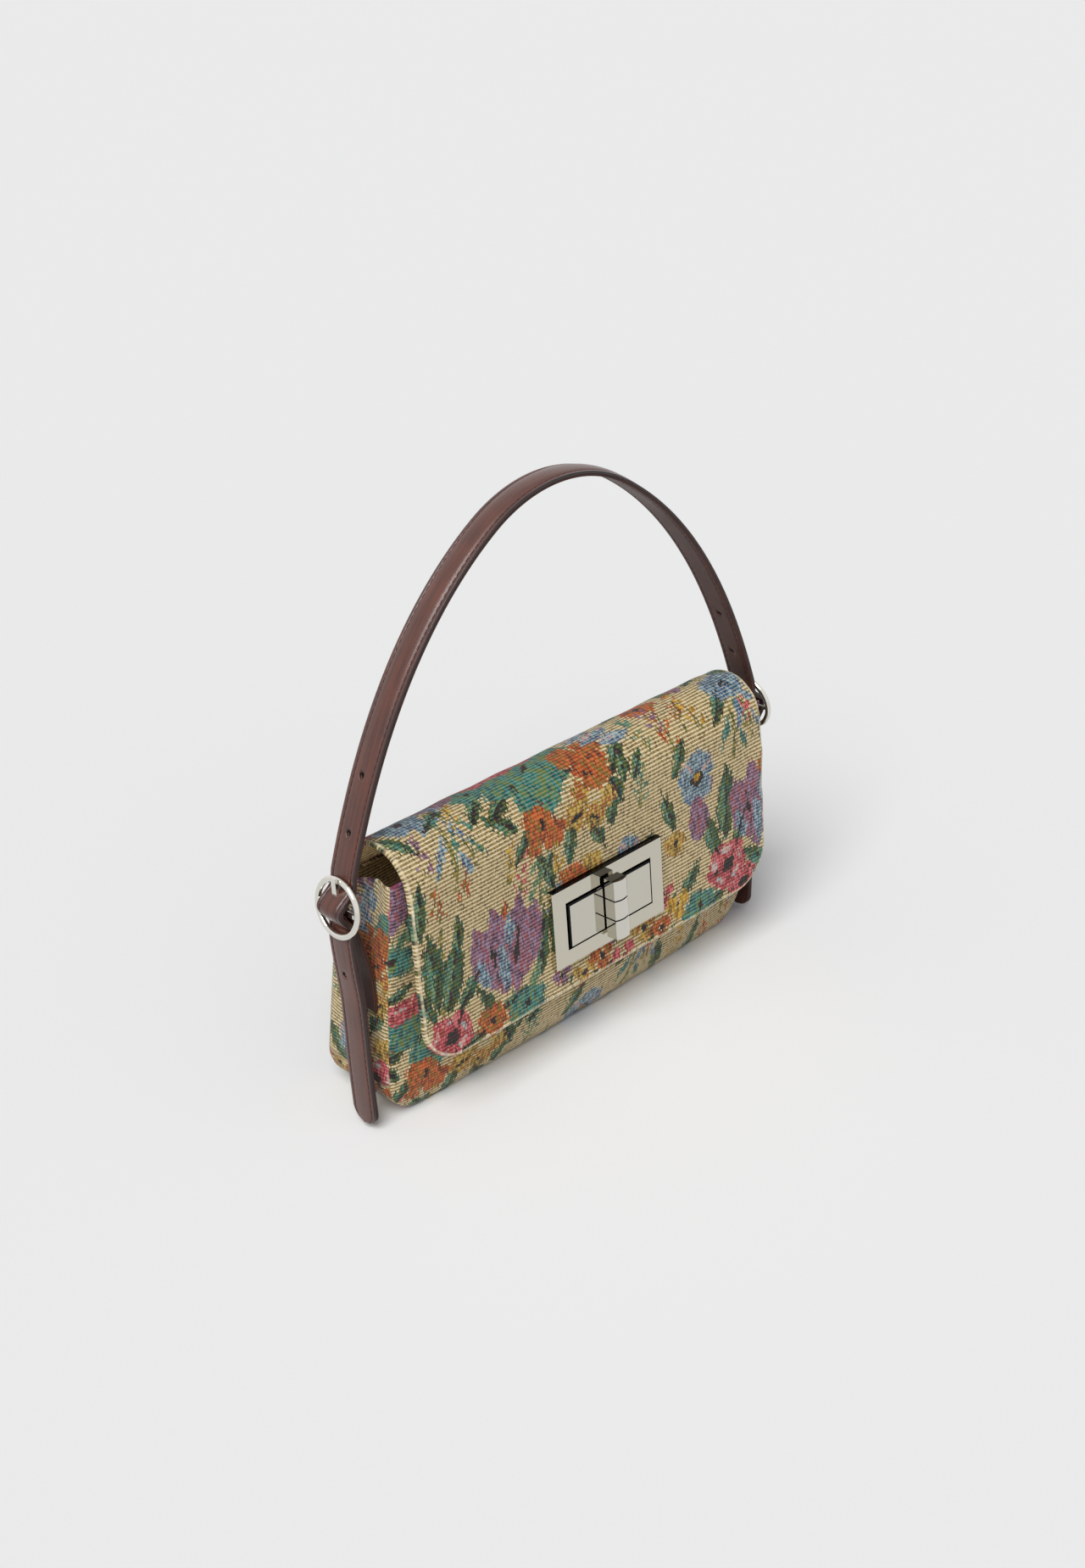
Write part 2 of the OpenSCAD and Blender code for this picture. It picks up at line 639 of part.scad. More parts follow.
module strap_holes() {
    for (k = [0, 1]) hole_through(foot_station - hole_start - k * hole_pitch, hole_r);
    hole_through(tail_station + hole_start, hole_r);
    for (side = [-1, 1]) at_buckle(side) tongue_sweep();
}

// Room that the tongue needs to pass the strap and to lift
lift_steps = 3;
module tongue_sweep() rotate([90, 0, 0]) for (i = [0:lift_steps])
    rotate([0, 0, tongue_lean - tongue_swing * i / lift_steps])
        translate([bar_r, -tongue_t / 2 - run_gap, -slot_w / 2])
            cube([ring_r, tongue_t + 2 * run_gap, slot_w]);

module strap_outer() color(leather) leaned() difference() {
    sheet(strap_grid(0, len(half_route) - 1, leather_t, pad_h),
        strap_grid(0, len(half_route) - 1, 0, pad_h));
    strap_holes();
}

module strap_lining() color(leather_dark) leaned() difference() {
    sheet(strap_grid(0, len(half_route) - 1, 0, 0), strap_grid(0, len(half_route) - 1, -leather_t, 0));
    strap_holes();
}

// Padding cord between the two layers, along the arch only
pad_share = 0.62;
pad_skin = 0.12;
function pad_row(i, flat) = let (
    p = half_route[i],
    d = i == 0 ? [1, 0] : heading(half_route, i),
    n = [-d[1], d[0]])
    [for (j = [0:strap_cols]) let (
        v = 2 * j / strap_cols - 1,
        full = pad_h * (1 - pow(v * pad_share, 2)) - pad_skin,
        q = p + (flat ? pad_skin : full) * n)
        [q[0], -v * pad_share * strap_w / 2, q[1]]];
function pad_grid(last, flat) = concat(
    [for (i = [last:-1:0]) [for (p = pad_row(i, flat)) [-p[0], p[1], p[2]]]],
    [for (i = [1:last]) pad_row(i, flat)]);
module strap_padding() color(cloth) leaned()
    sheet(pad_grid(crown_steps + 5, false), pad_grid(crown_steps + 5, true));

// Leans its children back about the buckle bars
module leaned() translate([0, 0, bar_z]) rotate([-strap_lean, 0, 0]) translate([0, 0, -bar_z]) children();

// Places its children at a buckle: X straight out of the ring's face, Z up the ring
module at_buckle(side) mirror([side < 0 ? 1 : 0, 0, 0])
    translate([bar_x, 0, bar_z]) rotate([0, -ring_tilt, 0]) children();

module buckle() {
    rotate([0, 90, 0]) rotate_extrude($fn = 120) translate([ring_mid, 0]) circle(r = ring_wire / 2, $fn = 32);
    rotate([90, 0, 0]) cylinder(r = bar_r, h = 2 * ring_mid, center = true, $fn = 48);
}
module buckle_left() color(nickel) leaned() at_buckle(-1) buckle();
module buckle_right() color(nickel) leaned() at_buckle(1) buckle();

// Tongue: an eye round the bar and an arm through the strap that rests on the ring
module tongue() rotate([90, 0, 0]) difference() {
    union() {
        cylinder(r = loop_r, h = tongue_w, center = true, $fn = 48);
        rotate([0, 0, tongue_lean]) translate([0, -tongue_t / 2, -tongue_w / 2])
            cube([ring_r + tongue_tip, tongue_t, tongue_w]);
    }
    cylinder(r = bar_r + stem_gap, h = 2 * tongue_w, center = true, $fn = 48);
}
module tongue_left() color(nickel) leaned() at_buckle(-1) tongue();
module tongue_right() color(nickel) leaned() at_buckle(1) tongue();

// Chape: leather folded round the bar and sewn to the gusset, with a slot for the tongue
function band(line, t) = concat(
    [for (i = [0:len(line) - 1]) line[i] + route_normal(line, i) * t / 2],
    [for (i = [len(line) - 1:-1:0]) line[i] - route_normal(line, i) * t / 2]);
module chape() {
    seat_x = half_w(chape_knee, 0) + seam_gap + chape_t;
    clear = turned([behind - leather_t - run_gap - 2 * chape_t, -weave_reach]);
    line = [[bar_x, bar_z], clear, [seat_x + chape_t, chape_knee + 6 * chape_t],
        [seat_x, chape_knee], [seat_x, chape_foot]];
    rotate([90, 0, 0]) difference() {
        union() {
            translate([bar_x, bar_z]) cylinder(r = loop_r, h = chape_w, center = true, $fn = 48);
            linear_extrude(chape_w, center = true) polygon(band(line, 2 * chape_t));
        }
        translate([bar_x, bar_z]) cylinder(r = bar_r + bore_gap, h = chape_w + 2 * cut, center = true, $fn = 48);
        translate([bar_x, bar_z]) cylinder(r = 2 * loop_r, h = chape_slot, center = true, $fn = 48);
    }
}
module chape_left() color(leather_dark) leaned() mirror([1, 0, 0]) chape();
module chape_right() color(leather_dark) leaned() chape();

front_panel();
back_panel();
left_gusset();
right_gusset();
bottom_panel();
front_lining();
back_lining();
gusset_lining();
slip_pocket();
base_board();
flap_panel();
flap_stiffener();
flap_lining();
lock_frame();
frame_backplate();
frame_screws();
lock_base();
base_backplate();
base_rivets();
turn_knob();
knob_clip();
detent_spring();
strap_outer();
strap_padding();
strap_lining();
buckle_left();
buckle_right();
tongue_left();
tongue_right();
chape_left();
chape_right();
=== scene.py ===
"""Looks of a flap shoulder bag: woven floral body and flap, polished turn lock, leather strap on two ring buckles.

Lengths are in millimetres in the shape code and are scaled to metres when a mesh is made.
X runs across the bag, the front faces -Y and Z is up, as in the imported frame.
"""

import math
from functools import partialmethod

import bmesh
import bpy
import numpy as np
from mathutils import Matrix, Vector


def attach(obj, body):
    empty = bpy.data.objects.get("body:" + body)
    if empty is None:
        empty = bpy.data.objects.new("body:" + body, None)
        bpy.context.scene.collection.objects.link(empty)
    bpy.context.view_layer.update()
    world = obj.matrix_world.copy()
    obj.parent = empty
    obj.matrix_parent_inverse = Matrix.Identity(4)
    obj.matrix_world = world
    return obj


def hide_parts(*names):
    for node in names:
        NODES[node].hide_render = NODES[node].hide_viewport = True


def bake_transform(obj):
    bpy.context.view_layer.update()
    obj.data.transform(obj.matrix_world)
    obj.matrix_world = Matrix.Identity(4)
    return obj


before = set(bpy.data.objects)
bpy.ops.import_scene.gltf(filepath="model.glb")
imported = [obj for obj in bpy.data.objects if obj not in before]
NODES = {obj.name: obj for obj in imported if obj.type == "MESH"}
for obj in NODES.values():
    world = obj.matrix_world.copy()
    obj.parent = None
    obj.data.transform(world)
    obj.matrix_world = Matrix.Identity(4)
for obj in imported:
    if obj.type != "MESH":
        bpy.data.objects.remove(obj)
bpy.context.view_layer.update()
MM = 0.001

# Body
BODY_W, BODY_H, CORNER_R, CORNER_ROWS = 274.0, 147.2, 26.0, 14
FRONT_D, FRONT_LEAN = 15.5, 6.9
BACK_D, BACK_LEAN, BACK_CROWN = 38.0, 18.9, 4.0
BASE_TUCK, TUCK_H, TUCK_POWER = 3.5, 32.0, 2.5
FRONT_CROWN, SAG_SHARE = 12.9, 0.7
PLEAT_D, PLEAT_Z = 6.5, 84.0
BACK_TOP_Z = 135.3
PANEL_T, LINING_T, LINING_IN = 1.6, 0.8, 2.2
FACING_H = 22.0
POCKET_HALF_W, POCKET_LOW, POCKET_HIGH, POCKET_OFF, POCKET_SAG = 70, 34, 112, 1.2, 1.4
SEAM_IN_X, SEAM_IN_Y, SEAM_REACH, PUCKER = 1.1, 1.5, 2.2, 0.4
FOOT_R = 1.6

# Flap
FLAP_W, FLAP_T, FLAP_DROP, FLAP_TILT = 260.0, 3.2, 97.6, math.radians(5.5)
FLAP_CORNER_R, FLAP_CELL = 25.0, 1.4
FOLD_Y, FOLD_Z, FOLD_R = -3.955, 137.2, 24.339
FLAP_TAIL, FLAP_END_IN, TAIL_T, THIN_RUN = 11.0, 0.8, 1.7, 8
FACING_IN, FACING_END_IN, FACING_LOW, FACING_SUNK = 7.0, 24.0, 0.35, 0.2

# Lock
LOCK_AT = (-33.597, 83.293)
LOCK_UP = 41.1
HOLE_HALF_W, HOLE_HALF_H = 33.1, 14.95
WINDOW_HALF_W, WINDOW_HALF_H = 32.0, 13.85
BASE_HALF_W, BASE_HALF_H, KNOB_GROOVE, GROOVE_HALF_W = 30.9, 12.75, 5.75, 0.45
# Painted shade and shadow: margin round the window for the gap's painted shade, and widths of the painted shadow bands
# along the lock base's top and left edges.
GAP_MARGIN, SHADOW_BAND_TOP, SHADOW_BAND_LEFT = 0.5, 1.15, 1.0

# Strap
STRAP_W, LEATHER_T, PAD_H, SEAM_W = 16.8, 1.5, 1.1, 6.25
CROWN_R, CROWN_ANGLE, FOOT_ANGLE, SIDE_BEND = 84.0, math.radians(31.6), math.radians(18), 0.52
SIDE_STEPS = 480
STRAP_LEAN = math.radians(2.8)
HOLE_START, HOLE_PITCH, HOLE_R = 20.8, 28.7, 1.5
BAR_X, BAR_Z, BAR_R = 151.7, 133.3, 1.5
RING_R, RING_WIRE, RING_TILT = 16.2, 3.2, math.radians(7.8)
CHAPE_W, CHAPE_T, CHAPE_KNEE, CHAPE_FOOT = 13.0, 1.1, 88.0, 70.0
TAIL_FOOT = (145.0, 3.5)
TAIL_ROUND = 8.0
TAIL_BOW = 1.5
TONGUE_SLOT = 4.6
LAYER_GAP, CHANNEL_D, BEVEL_D, BARE_DOME = 0.04, 0.38, 0.3, 0.4
CHANNEL_W, BEVEL_FROM, DOME_HALF_W = 0.42, 7.4, 6.0
STITCH_L, STITCH_GAP, STITCH_R = 2.9, 1.1, 0.3

# Weave
RIB, THREAD = 2.12, 0.8
FAR_HEM, FAR_MOTIF, HEM_STEP = 9.0, 12.0, 0.35
TILE_U, TILE_V = 290.0, 172.0


# ---------- meshes ----------

def unit(v):
    return v / np.maximum(np.linalg.norm(v, axis=-1, keepdims=True), 1e-9)


def lengths(points):
    """Length along a line of points, up to each of them."""
    return np.concatenate([[0], np.cumsum(np.linalg.norm(np.diff(points, axis=0), axis=1))])


def grid_faces(rows, cols, mask=None):
    i, j = np.meshgrid(np.arange(rows - 1), np.arange(cols - 1), indexing="ij")
    a = i * cols + j
    quads = np.stack([a, a + 1, a + cols + 1, a + cols], -1)
    return (quads if mask is None else quads[mask]).reshape(-1, 4)


def make_mesh(name, verts, faces, material_index=None, corner_data=None, weld=False):
    """A mesh object from points in mm. corner_data holds rows of one value per vertex, kept per face corner."""
    mesh = bpy.data.meshes.new(name)
    mesh.from_pydata((np.asarray(verts) * MM).tolist(), [], [list(map(int, f)) for f in faces])
    loop_vertex = np.zeros(len(mesh.loops), np.int32)
    mesh.loops.foreach_get("vertex_index", loop_vertex)
    for key, values in (corner_data or {}).items():
        layer = mesh.attributes.new(key, "FLOAT", "CORNER")
        layer.data.foreach_set("value", np.asarray(values, np.float32)[loop_vertex])
    if material_index is not None:
        mesh.polygons.foreach_set("material_index", np.asarray(material_index, np.int32))
    mesh.polygons.foreach_set("use_smooth", np.ones(len(mesh.polygons), bool))
    work = bmesh.new()
    work.from_mesh(mesh)
    if weld:
        bmesh.ops.remove_doubles(work, verts=work.verts, dist=1e-6)
    bmesh.ops.recalc_face_normals(work, faces=work.faces)
    work.to_mesh(mesh)
    work.free()
    mesh.validate()
    obj = bpy.data.objects.new(name, mesh)
    bpy.context.scene.collection.objects.link(obj)
    return obj


def thick_sheet(outer, inner, mask=None, rim_steps=4, data=None):
    """A closed solid between two grids, with round rims along every free edge, holes included.

    Returns points, faces, a side per face (0 outer, 1 rim, 2 inner) and the data repeated for all points.
    The data named hem grows along the rim and is out of reach on the inner face.
    """
    rows, cols = outer.shape[:2]
    count = rows * cols
    top = grid_faces(rows, cols, mask)
    out, back = outer.reshape(-1, 3), inner.reshape(-1, 3)
    edges = np.concatenate([top[:, [k, (k + 1) % 4]] for k in range(4)])
    _, index, uses = np.unique(np.sort(edges, 1) @ np.array([count, 1]), return_index=True, return_counts=True)
    rim = edges[index[uses == 1]]
    depth = back - out
    normal = -unit(depth)
    push = np.zeros_like(out)
    for a, b in rim:
        side = np.cross(out[b] - out[a], normal[a])
        side /= max(np.linalg.norm(side), 1e-9)
        push[a] += side
        push[b] += side
    rim_points = np.unique(rim)
    push, depth = unit(push)[rim_points], depth[rim_points]
    half = np.linalg.norm(depth, axis=1, keepdims=True) / 2
    angles = [math.pi * k / rim_steps for k in range(1, rim_steps)]
    rings = [out[rim_points] + depth * (1 - math.cos(a)) / 2 + push * half * math.sin(a) for a in angles]
    chains = {p: [p, *range(2 * count + k, 2 * count + k + len(rings) * len(rim_points), len(rim_points)), p + count]
              for k, p in enumerate(rim_points.tolist())}
    walls = []
    for a, b in rim.tolist():
        here, there = chains[a], chains[b]
        walls += [[here[k], here[k + 1], there[k + 1], there[k]] for k in range(rim_steps)]
    points = np.concatenate([out, back, *rings])
    faces = np.concatenate([top, top[:, ::-1] + count, np.array(walls, int)])
    sides = np.concatenate([np.zeros(len(top), int), np.full(len(top), 2), np.ones(len(walls), int)])
    used = np.unique(faces)
    index = np.full(len(points), -1)
    index[used] = np.arange(len(used))
    repeated = {}
    for name, values in (data or {}).items():
        flat, is_hem = values.reshape(-1), name == "hem"
        whole = np.concatenate([flat, flat * 0 + FAR_HEM if is_hem else flat]
                               + [flat[rim_points] + HEM_STEP * k * is_hem for k in range(1, rim_steps)])
        repeated[name] = whole[used]
    return points[used], index[faces], sides, repeated


def joined(parts):
    """Several (points, faces, sides, data) as one."""
    points, faces, sides, data = zip(*parts)
    starts = np.cumsum([0] + [len(p) for p in points[:-1]])
    return (np.concatenate(points), np.concatenate([f + start for f, start in zip(faces, starts)]),
            np.concatenate(sides), {k: np.concatenate([d[k] for d in data]) for k in data[0]})


def ripple(a, b, seed):
    """A smooth wandering value between about -1 and 1, from two coordinates in wavelengths."""
    return (np.sin(6.28 * (a + 0.31 * np.sin(5.1 * b + seed)) + seed * 1.7)
            * np.sin(6.28 * (b * 0.83 + 0.27 * np.sin(4.3 * a + 2 * seed)) + 0.9 + seed)
            + 0.5 * np.sin(6.28 * (1.9 * a - 1.3 * b) + 2.1 * seed)) / 1.5


def smooth(x):
    x = np.clip(x, 0, 1)
    return x * x * (3 - 2 * x)


# ---------- floral layout of the weave ----------

LAYERS = ["stem", "leaf", "leaf_light", "teal", "mustard", "rust", "rose", "violet", "blue", "pale", "dark", "gold"]
motifs = {name: [] for name in LAYERS}


def petals(layer, u, v, r, count, depth, turn=0.0, wide=1.0):
    motifs[layer].append(("petals", u, v, r, count, depth, turn, wide))


def lens(layer, u, v, length, width, turn):
    """A pointed oval, turn degrees from upright."""
    motifs[layer].append(("lens", u, v, length, width, math.radians(turn)))


def line(layer, u, v, u2, v2, r):
    motifs[layer].append(("line", u, v, u2, v2, r))


def lenses(u, v, size, *rows):
    """Pointed ovals of one flower: layer, place, length and width in shares of its size, and turn."""
    for layer, du, dv, length, width, turn in rows:
        lens(layer, u + du * size, v + dv * size, size * length, size * width, turn)


def rose(u, v, r):
    wide = 1.15
    petals("rose", u, v, r, 5, 0.22, 0.4, wide)
    petals("dark", u + r * 0.08, v - r * 0.04, r * 0.34, 4, 0.4, 0.9, wide)
    for layer, length, width, flat, turns in (("pale", 0.62, 0.2, 0, (0.3, 1.6, 2.9, 4.2, 5.5)),
                                              ("dark", 0.7, 0.12, 1.57, (0.9, 3.4, 4.9))):
        for turn in turns:
            lens(layer, u + r * 0.62 * wide * math.cos(turn), v + r * 0.62 * math.sin(turn), r * length, r * width,
                 math.degrees(flat - turn))


def leaf(u, v, length, width, turn):
    t = math.radians(turn)
    lens("leaf", u, v, length, width, turn)
    lens("leaf_light", u - 0.16 * width * math.cos(t), v + 0.16 * width * math.sin(t),
         length * 0.7, width * 0.44, turn)
    line("dark", u - 0.4 * length * math.sin(t), v - 0.4 * length * math.cos(t),
         u + 0.3 * length * math.sin(t), v + 0.3 * length * math.cos(t), 0.5)


def tulip(u, v, h):
    lenses(u, v, h, ("violet", -0.27, 0.04, 0.74, 0.32, -16), ("violet", 0.27, 0.04, 0.7, 0.32, 16),
           ("violet", -0.1, 0.04, 0.94, 0.32, -5), ("violet", 0.12, 0.04, 1.0, 0.32, 6),
           ("blue", -0.3, -0.1, 0.36, 0.13, -20), ("blue", -0.06, -0.14, 0.5, 0.13, -6),
           ("blue", 0.02, 0.2, 0.34, 0.13, 4), ("rust", 0.2, -0.16, 0.5, 0.1, 24), ("rust", 0.3, 0.08, 0.4, 0.1, 10),
           ("rust", -0.02, 0.34, 0.34, 0.1, 8), ("rose", -0.12, 0.3, 0.4, 0.16, -6), ("rose", 0.2, 0.2, 0.3, 0.12, 18),
           ("dark", 0.1, 0, 0.4, 0.05, 10), ("dark", -0.18, 0.02, 0.36, 0.05, -12))
    line("stem", u, v - 0.7 * h, u + 0.02 * h, v - 0.4 * h, 1.3)


def pansy(u, v, r):
    for turn, size in ((0.5, 1.0), (1.6, 0.95), (2.7, 1.0), (3.9, 0.9), (5.4, 0.92)):
        petals("blue", u + 0.55 * r * math.cos(turn), v + 0.62 * r * math.sin(turn), r * 0.52 * size, 3, 0.2, turn)
    lenses(u, v, r, ("violet", 0, -1.1, 1.3, 0.8, 4), ("violet", 0.6, -0.6, 0.9, 0.4, 30),
           ("pale", -0.5, 0.55, 0.8, 0.2, -45), ("pale", 0.55, 0.3, 0.7, 0.18, 60))
    petals("dark", u + 0.02 * r, v - 0.02 * r, r * 0.34, 4, 0.3)
    petals("gold", u, v + 0.06 * r, r * 0.2, 4, 0.3)


def spray(u, v, h, layer, turn):
    """A stalk with short strokes on both sides."""
    t = math.radians(turn)
    line("stem", u, v, u + 0.8 * h * math.sin(t), v + 0.8 * h * math.cos(t), 0.8)
    for k in range(7):
        side, f = (1, -1)[k % 2], 0.2 + 0.13 * k
        lens(layer, u + f * h * math.sin(t) + side * 0.15 * h * (1.15 - f), v + f * h * math.cos(t),
             0.24 * h, 0.08 * h, turn + side * 34)


def stalk(u, v, h, layer, turn):
    """A tall thin stalk with drooping leaves."""
    t = math.radians(turn)
    line("stem", u, v, u + h * math.sin(t), v + h * math.cos(t), 1.2)
    for f, side, size in ((0.2, 1, 0.26), (0.34, -1, 0.34), (0.5, 1, 0.3), (0.66, -1, 0.26), (0.8, 1, 0.22)):
        lens(layer, u + f * h * math.sin(t) + side * 0.11 * h, v + f * h * math.cos(t) - 0.04 * h,
             size * h, 0.075 * h, turn - side * 26)


def posy(u, v, r, layer):
    for k in range(3):
        turn = 0.6 + 2.1 * k
        petals(layer, u + 0.7 * r * math.cos(turn), v + 0.6 * r * math.sin(turn), r * 0.62, 4, 0.28, turn)
    petals("dark", u, v, r * 0.3, 3, 0.3)
    lens("leaf", u + r, v - 0.8 * r, 1.6 * r, 0.5 * r, 50)


def bouquet(u, v):
    """Teal blooms with rust and golden ones under them, roses over them and blue plumes on one side."""
    for du, dv, r, wide in ((0, 6, 17, 1.35), (-20, 12, 12, 1.3), (16, 18, 12, 1.4), (-6, -8, 10, 1.4)):
        petals("teal", u + du, v + dv, r, 6, 0.16, 0.3, wide)
    for du, dv, r in ((34, -4, 13), (25, 8, 10), (41, 8, 9), (-12, -19, 11), (-3, -27, 9), (-17, -31, 6)):
        petals("rust", u + du, v + dv, r, 5, 0.24, du * 0.1)
    for du, dv, r in ((14, -24, 9), (27, -29, 8), (20, -14, 7), (38, -22, 6)):
        petals("mustard", u + du, v + dv, r, 5, 0.26, dv * 0.1)
    for du, dv, r in ((-8, 27, 9), (8, 29, 8), (-26, 25, 7)):
        petals("rose", u + du, v + dv, r, 5, 0.2, 0.2, 1.5)
        lens("pale", u + du, v + dv + 1, r * 1.6, r * 0.3, 80)
    for du, dv, length, turn in ((46, 22, 26, 62), (52, 14, 28, 74), (60, 6, 24, 88), (42, 30, 22, 48)):
        lens("blue", u + du, v + dv, length, 9, turn)
        lens("pale", u + du, v + dv + 1.5, length * 0.7, 2.4, turn)
    for du, dv, length, width, turn in ((53, -10, 24, 9, 14), (44, -20, 22, 8, -20), (8, -38, 24, 9, 10),
                                        (-30, -2, 20, 8, 60), (62, -14, 20, 7, 36), (-8, -42, 16, 6, 36)):
        leaf(u + du, v + dv, length, width, turn)
    for du, dv in ((30, -6), (38, -2), (-10, -20), (14, -25), (2, 14), (-14, 4), (20, 0), (27, -30)):
        lens("dark", u + du, v + dv, 9, 2.0, 40 + 3 * du)
    for du, dv, turn in ((-12, 16, 70), (6, 4, 50), (18, 16, 80), (-4, -4, 30), (-22, 8, 60)):
        lens("leaf_light", u + du, v + dv, 16, 3.6, turn)


def bloom(u, v, r, layer, wide):
    petals(layer, u, v, r, 5, 0.22, r * 0.3, wide)
    petals("dark", u, v, r * 0.25, 4, 0.4, r * 0.2)


def plume(u, v, turn):
    lens("violet", u, v, 24, 11, turn)
    lens("pale", u, v, 14, 3, turn)


# The tile's motifs, each placed by its u and v in mm
for draw, rows in (
        (bouquet, ((100, 122),)),
        (rose, ((17, 13, 14), (227, 22, 15), (240, 6, 11), (128, 46, 14))),
        (tulip, ((60, 42, 58), (258, 48, 60))),
        (pansy, ((205, 84, 15), (222, 158, 12), (205, 164, 9), (150, 62, 9))),
        (plume, ((150, 160, 60), (162, 156, 40), (172, 164, 80))),
        (posy, ((112, 6, 7, "mustard"), (126, 10, 8, "rust"), (142, 4, 7, "rose"), (158, 12, 8, "mustard"),
                (172, 6, 7, "rust"), (186, 14, 8, "gold"), (134, 20, 6, "violet"), (96, 12, 6, "violet"),
                (176, 24, 6, "rose"), (276, 8, 9, "rust"), (60, 160, 8, "rust"), (12, 166, 8, "teal"),
                (276, 160, 9, "blue"))),
        (bloom, ((246, 128, 12, "blue", 1.3), (264, 148, 12, "teal", 1.2), (20, 140, 11, "blue", 1.4),
                 (46, 146, 10, "violet", 1.3), (64, 138, 10, "teal", 1.3), (46, 9, 9, "rust", 1.3),
                 (70, 7, 11, "teal", 1.4), (2, 150, 9, "rose", 1.3), (190, 140, 9, "rust", 1.3),
                 (204, 6, 10, "teal", 1.5), (186, 52, 8, "mustard", 1.1))),
        (petals, (("teal", 256, 8, 12, 6, 0.2, 0.3, 1.4), ("teal", 240, 160, 10, 5, 0.2, 0.2, 1.3),
                  ("rust", 108, 64, 9, 5, 0.22, 0.3, 1.3), ("mustard", 122, 66, 8, 5, 0.22, 0.5, 1.2))),
        (lens, (("leaf", 44, 20, 30, 8, -30), ("leaf_light", 76, 18, 26, 7, 34), ("violet", 206, 58, 26, 16, 8))),
        (line, (("stem", 14, 26, 17, 74, 1.3),)),
        (stalk, ((84, 58, 40, "leaf_light", 6), (30, 92, 64, "blue", 6), (44, 100, 50, "teal", -8),
                 (236, 84, 60, "teal", 4), (252, 92, 54, "blue", -8), (98, 30, 44, "blue", -6))),
        (spray, ((18, 78, 20, "rust", -10), (32, 80, 22, "rust", 16), (64, 80, 20, "gold", 10),
                 (190, 104, 36, "rust", 4), (203, 112, 30, "rust", 18), (276, 78, 34, "gold", 6),
                 (268, 120, 28, "rust", -10), (160, 84, 26, "leaf_light", 10), (174, 112, 26, "leaf_light", -4),
                 (70, 66, 26, "rose", 12), (100, 66, 22, "gold", -6), (186, 116, 26, "violet", 8),
                 (214, 108, 30, "gold", -4), (246, 100, 24, "rose", 14), (12, 104, 24, "violet", 12),
                 (150, 138, 26, "teal", -20), (40, 116, 22, "gold", 20))),
        (leaf, ((10, 53, 46, 14, -3), (22, 46, 44, 15, 14), (33, 34, 28, 9, 42), (3, 36, 26, 9, -24),
                (28, 66, 24, 7, 4), (228, 60, 46, 15, 4), (216, 44, 36, 12, -20), (240, 42, 34, 12, 24),
                (282, 30, 34, 11, 10), (236, 146, 22, 8, 50), (212, 146, 20, 7, -40), (74, 158, 20, 7, 60),
                (106, 44, 40, 12, -14), (116, 30, 28, 9, 30), (148, 44, 42, 12, 12), (160, 54, 30, 9, 34),
                (232, 118, 30, 9, 40), (258, 136, 26, 9, -34), (276, 134, 26, 8, 12), (34, 132, 26, 8, 60),
                (8, 126, 26, 8, -36), (56, 154, 24, 8, 70), (84, 38, 44, 11, 8), (90, 76, 30, 9, -24),
                (60, 14, 26, 8, 72), (5, 88, 32, 9, 6), (66, 112, 26, 9, -50), (58, 126, 22, 8, 40),
                (140, 94, 26, 9, 8), (152, 118, 26, 8, 44), (128, 82, 22, 8, -30), (182, 72, 30, 9, -18),
                (192, 100, 28, 9, 28), (178, 148, 24, 8, 66), (196, 24, 28, 9, 40), (214, 4, 26, 9, 70),
                (262, 92, 32, 9, -10), (284, 60, 34, 10, -6), (110, 92, 22, 8, 20), (76, 96, 24, 8, 30),
                (248, 20, 26, 9, -60), (34, 4, 24, 8, 80), (154, 22, 20, 7, 70)))):
    for row in rows:
        draw(*row)


def motif_distance(kind, u, v, shape):
    """Signed distance in mm from points of the weave to one shape, repeated over the tile."""
    du = (u - shape[0] + TILE_U / 2) % TILE_U - TILE_U / 2
    dv = (v - shape[1] + TILE_V / 2) % TILE_V - TILE_V / 2
    if kind == "petals":
        r, count, depth, turn, wide = shape[2:]
        du = du / wide
        angle = np.arctan2(dv, du) + turn
        edge = r * (1 - depth + depth * np.abs(np.cos(angle * count / 2)) ** 0.7)
        return np.hypot(du, dv) - edge
    if kind == "lens":
        length, width, turn = shape[2:]
        along = du * math.sin(turn) + dv * math.cos(turn)
        across = du * math.cos(turn) - dv * math.sin(turn)
        r = (length * length + width * width) / (4 * width)
        return np.hypot(along, np.abs(across) + r - width / 2) - r
    u2, v2, r = shape[2] - shape[0], shape[3] - shape[1], shape[4]
    share = np.clip((du * u2 + dv * v2) / (u2 * u2 + v2 * v2), 0, 1)
    return np.hypot(du - share * u2, dv - share * v2) - r


def weave_data(u, v, hem=None, plain=False):
    """Per-point values that the weave's material reads: place in the cloth, distance to a hem and to each motif.

    A plain weave has no motifs.
    """
    data = {"cloth_u": u, "cloth_v": v, "hem": np.full(u.shape, FAR_HEM) if hem is None else hem}
    for name, shapes in motifs.items():
        best = np.full(u.shape, FAR_MOTIF)
        for kind, *shape in [] if plain else shapes:
            best = np.minimum(best, motif_distance(kind, u, v, shape))
        data["motif_" + name] = best
    return data


# ---------- materials ----------

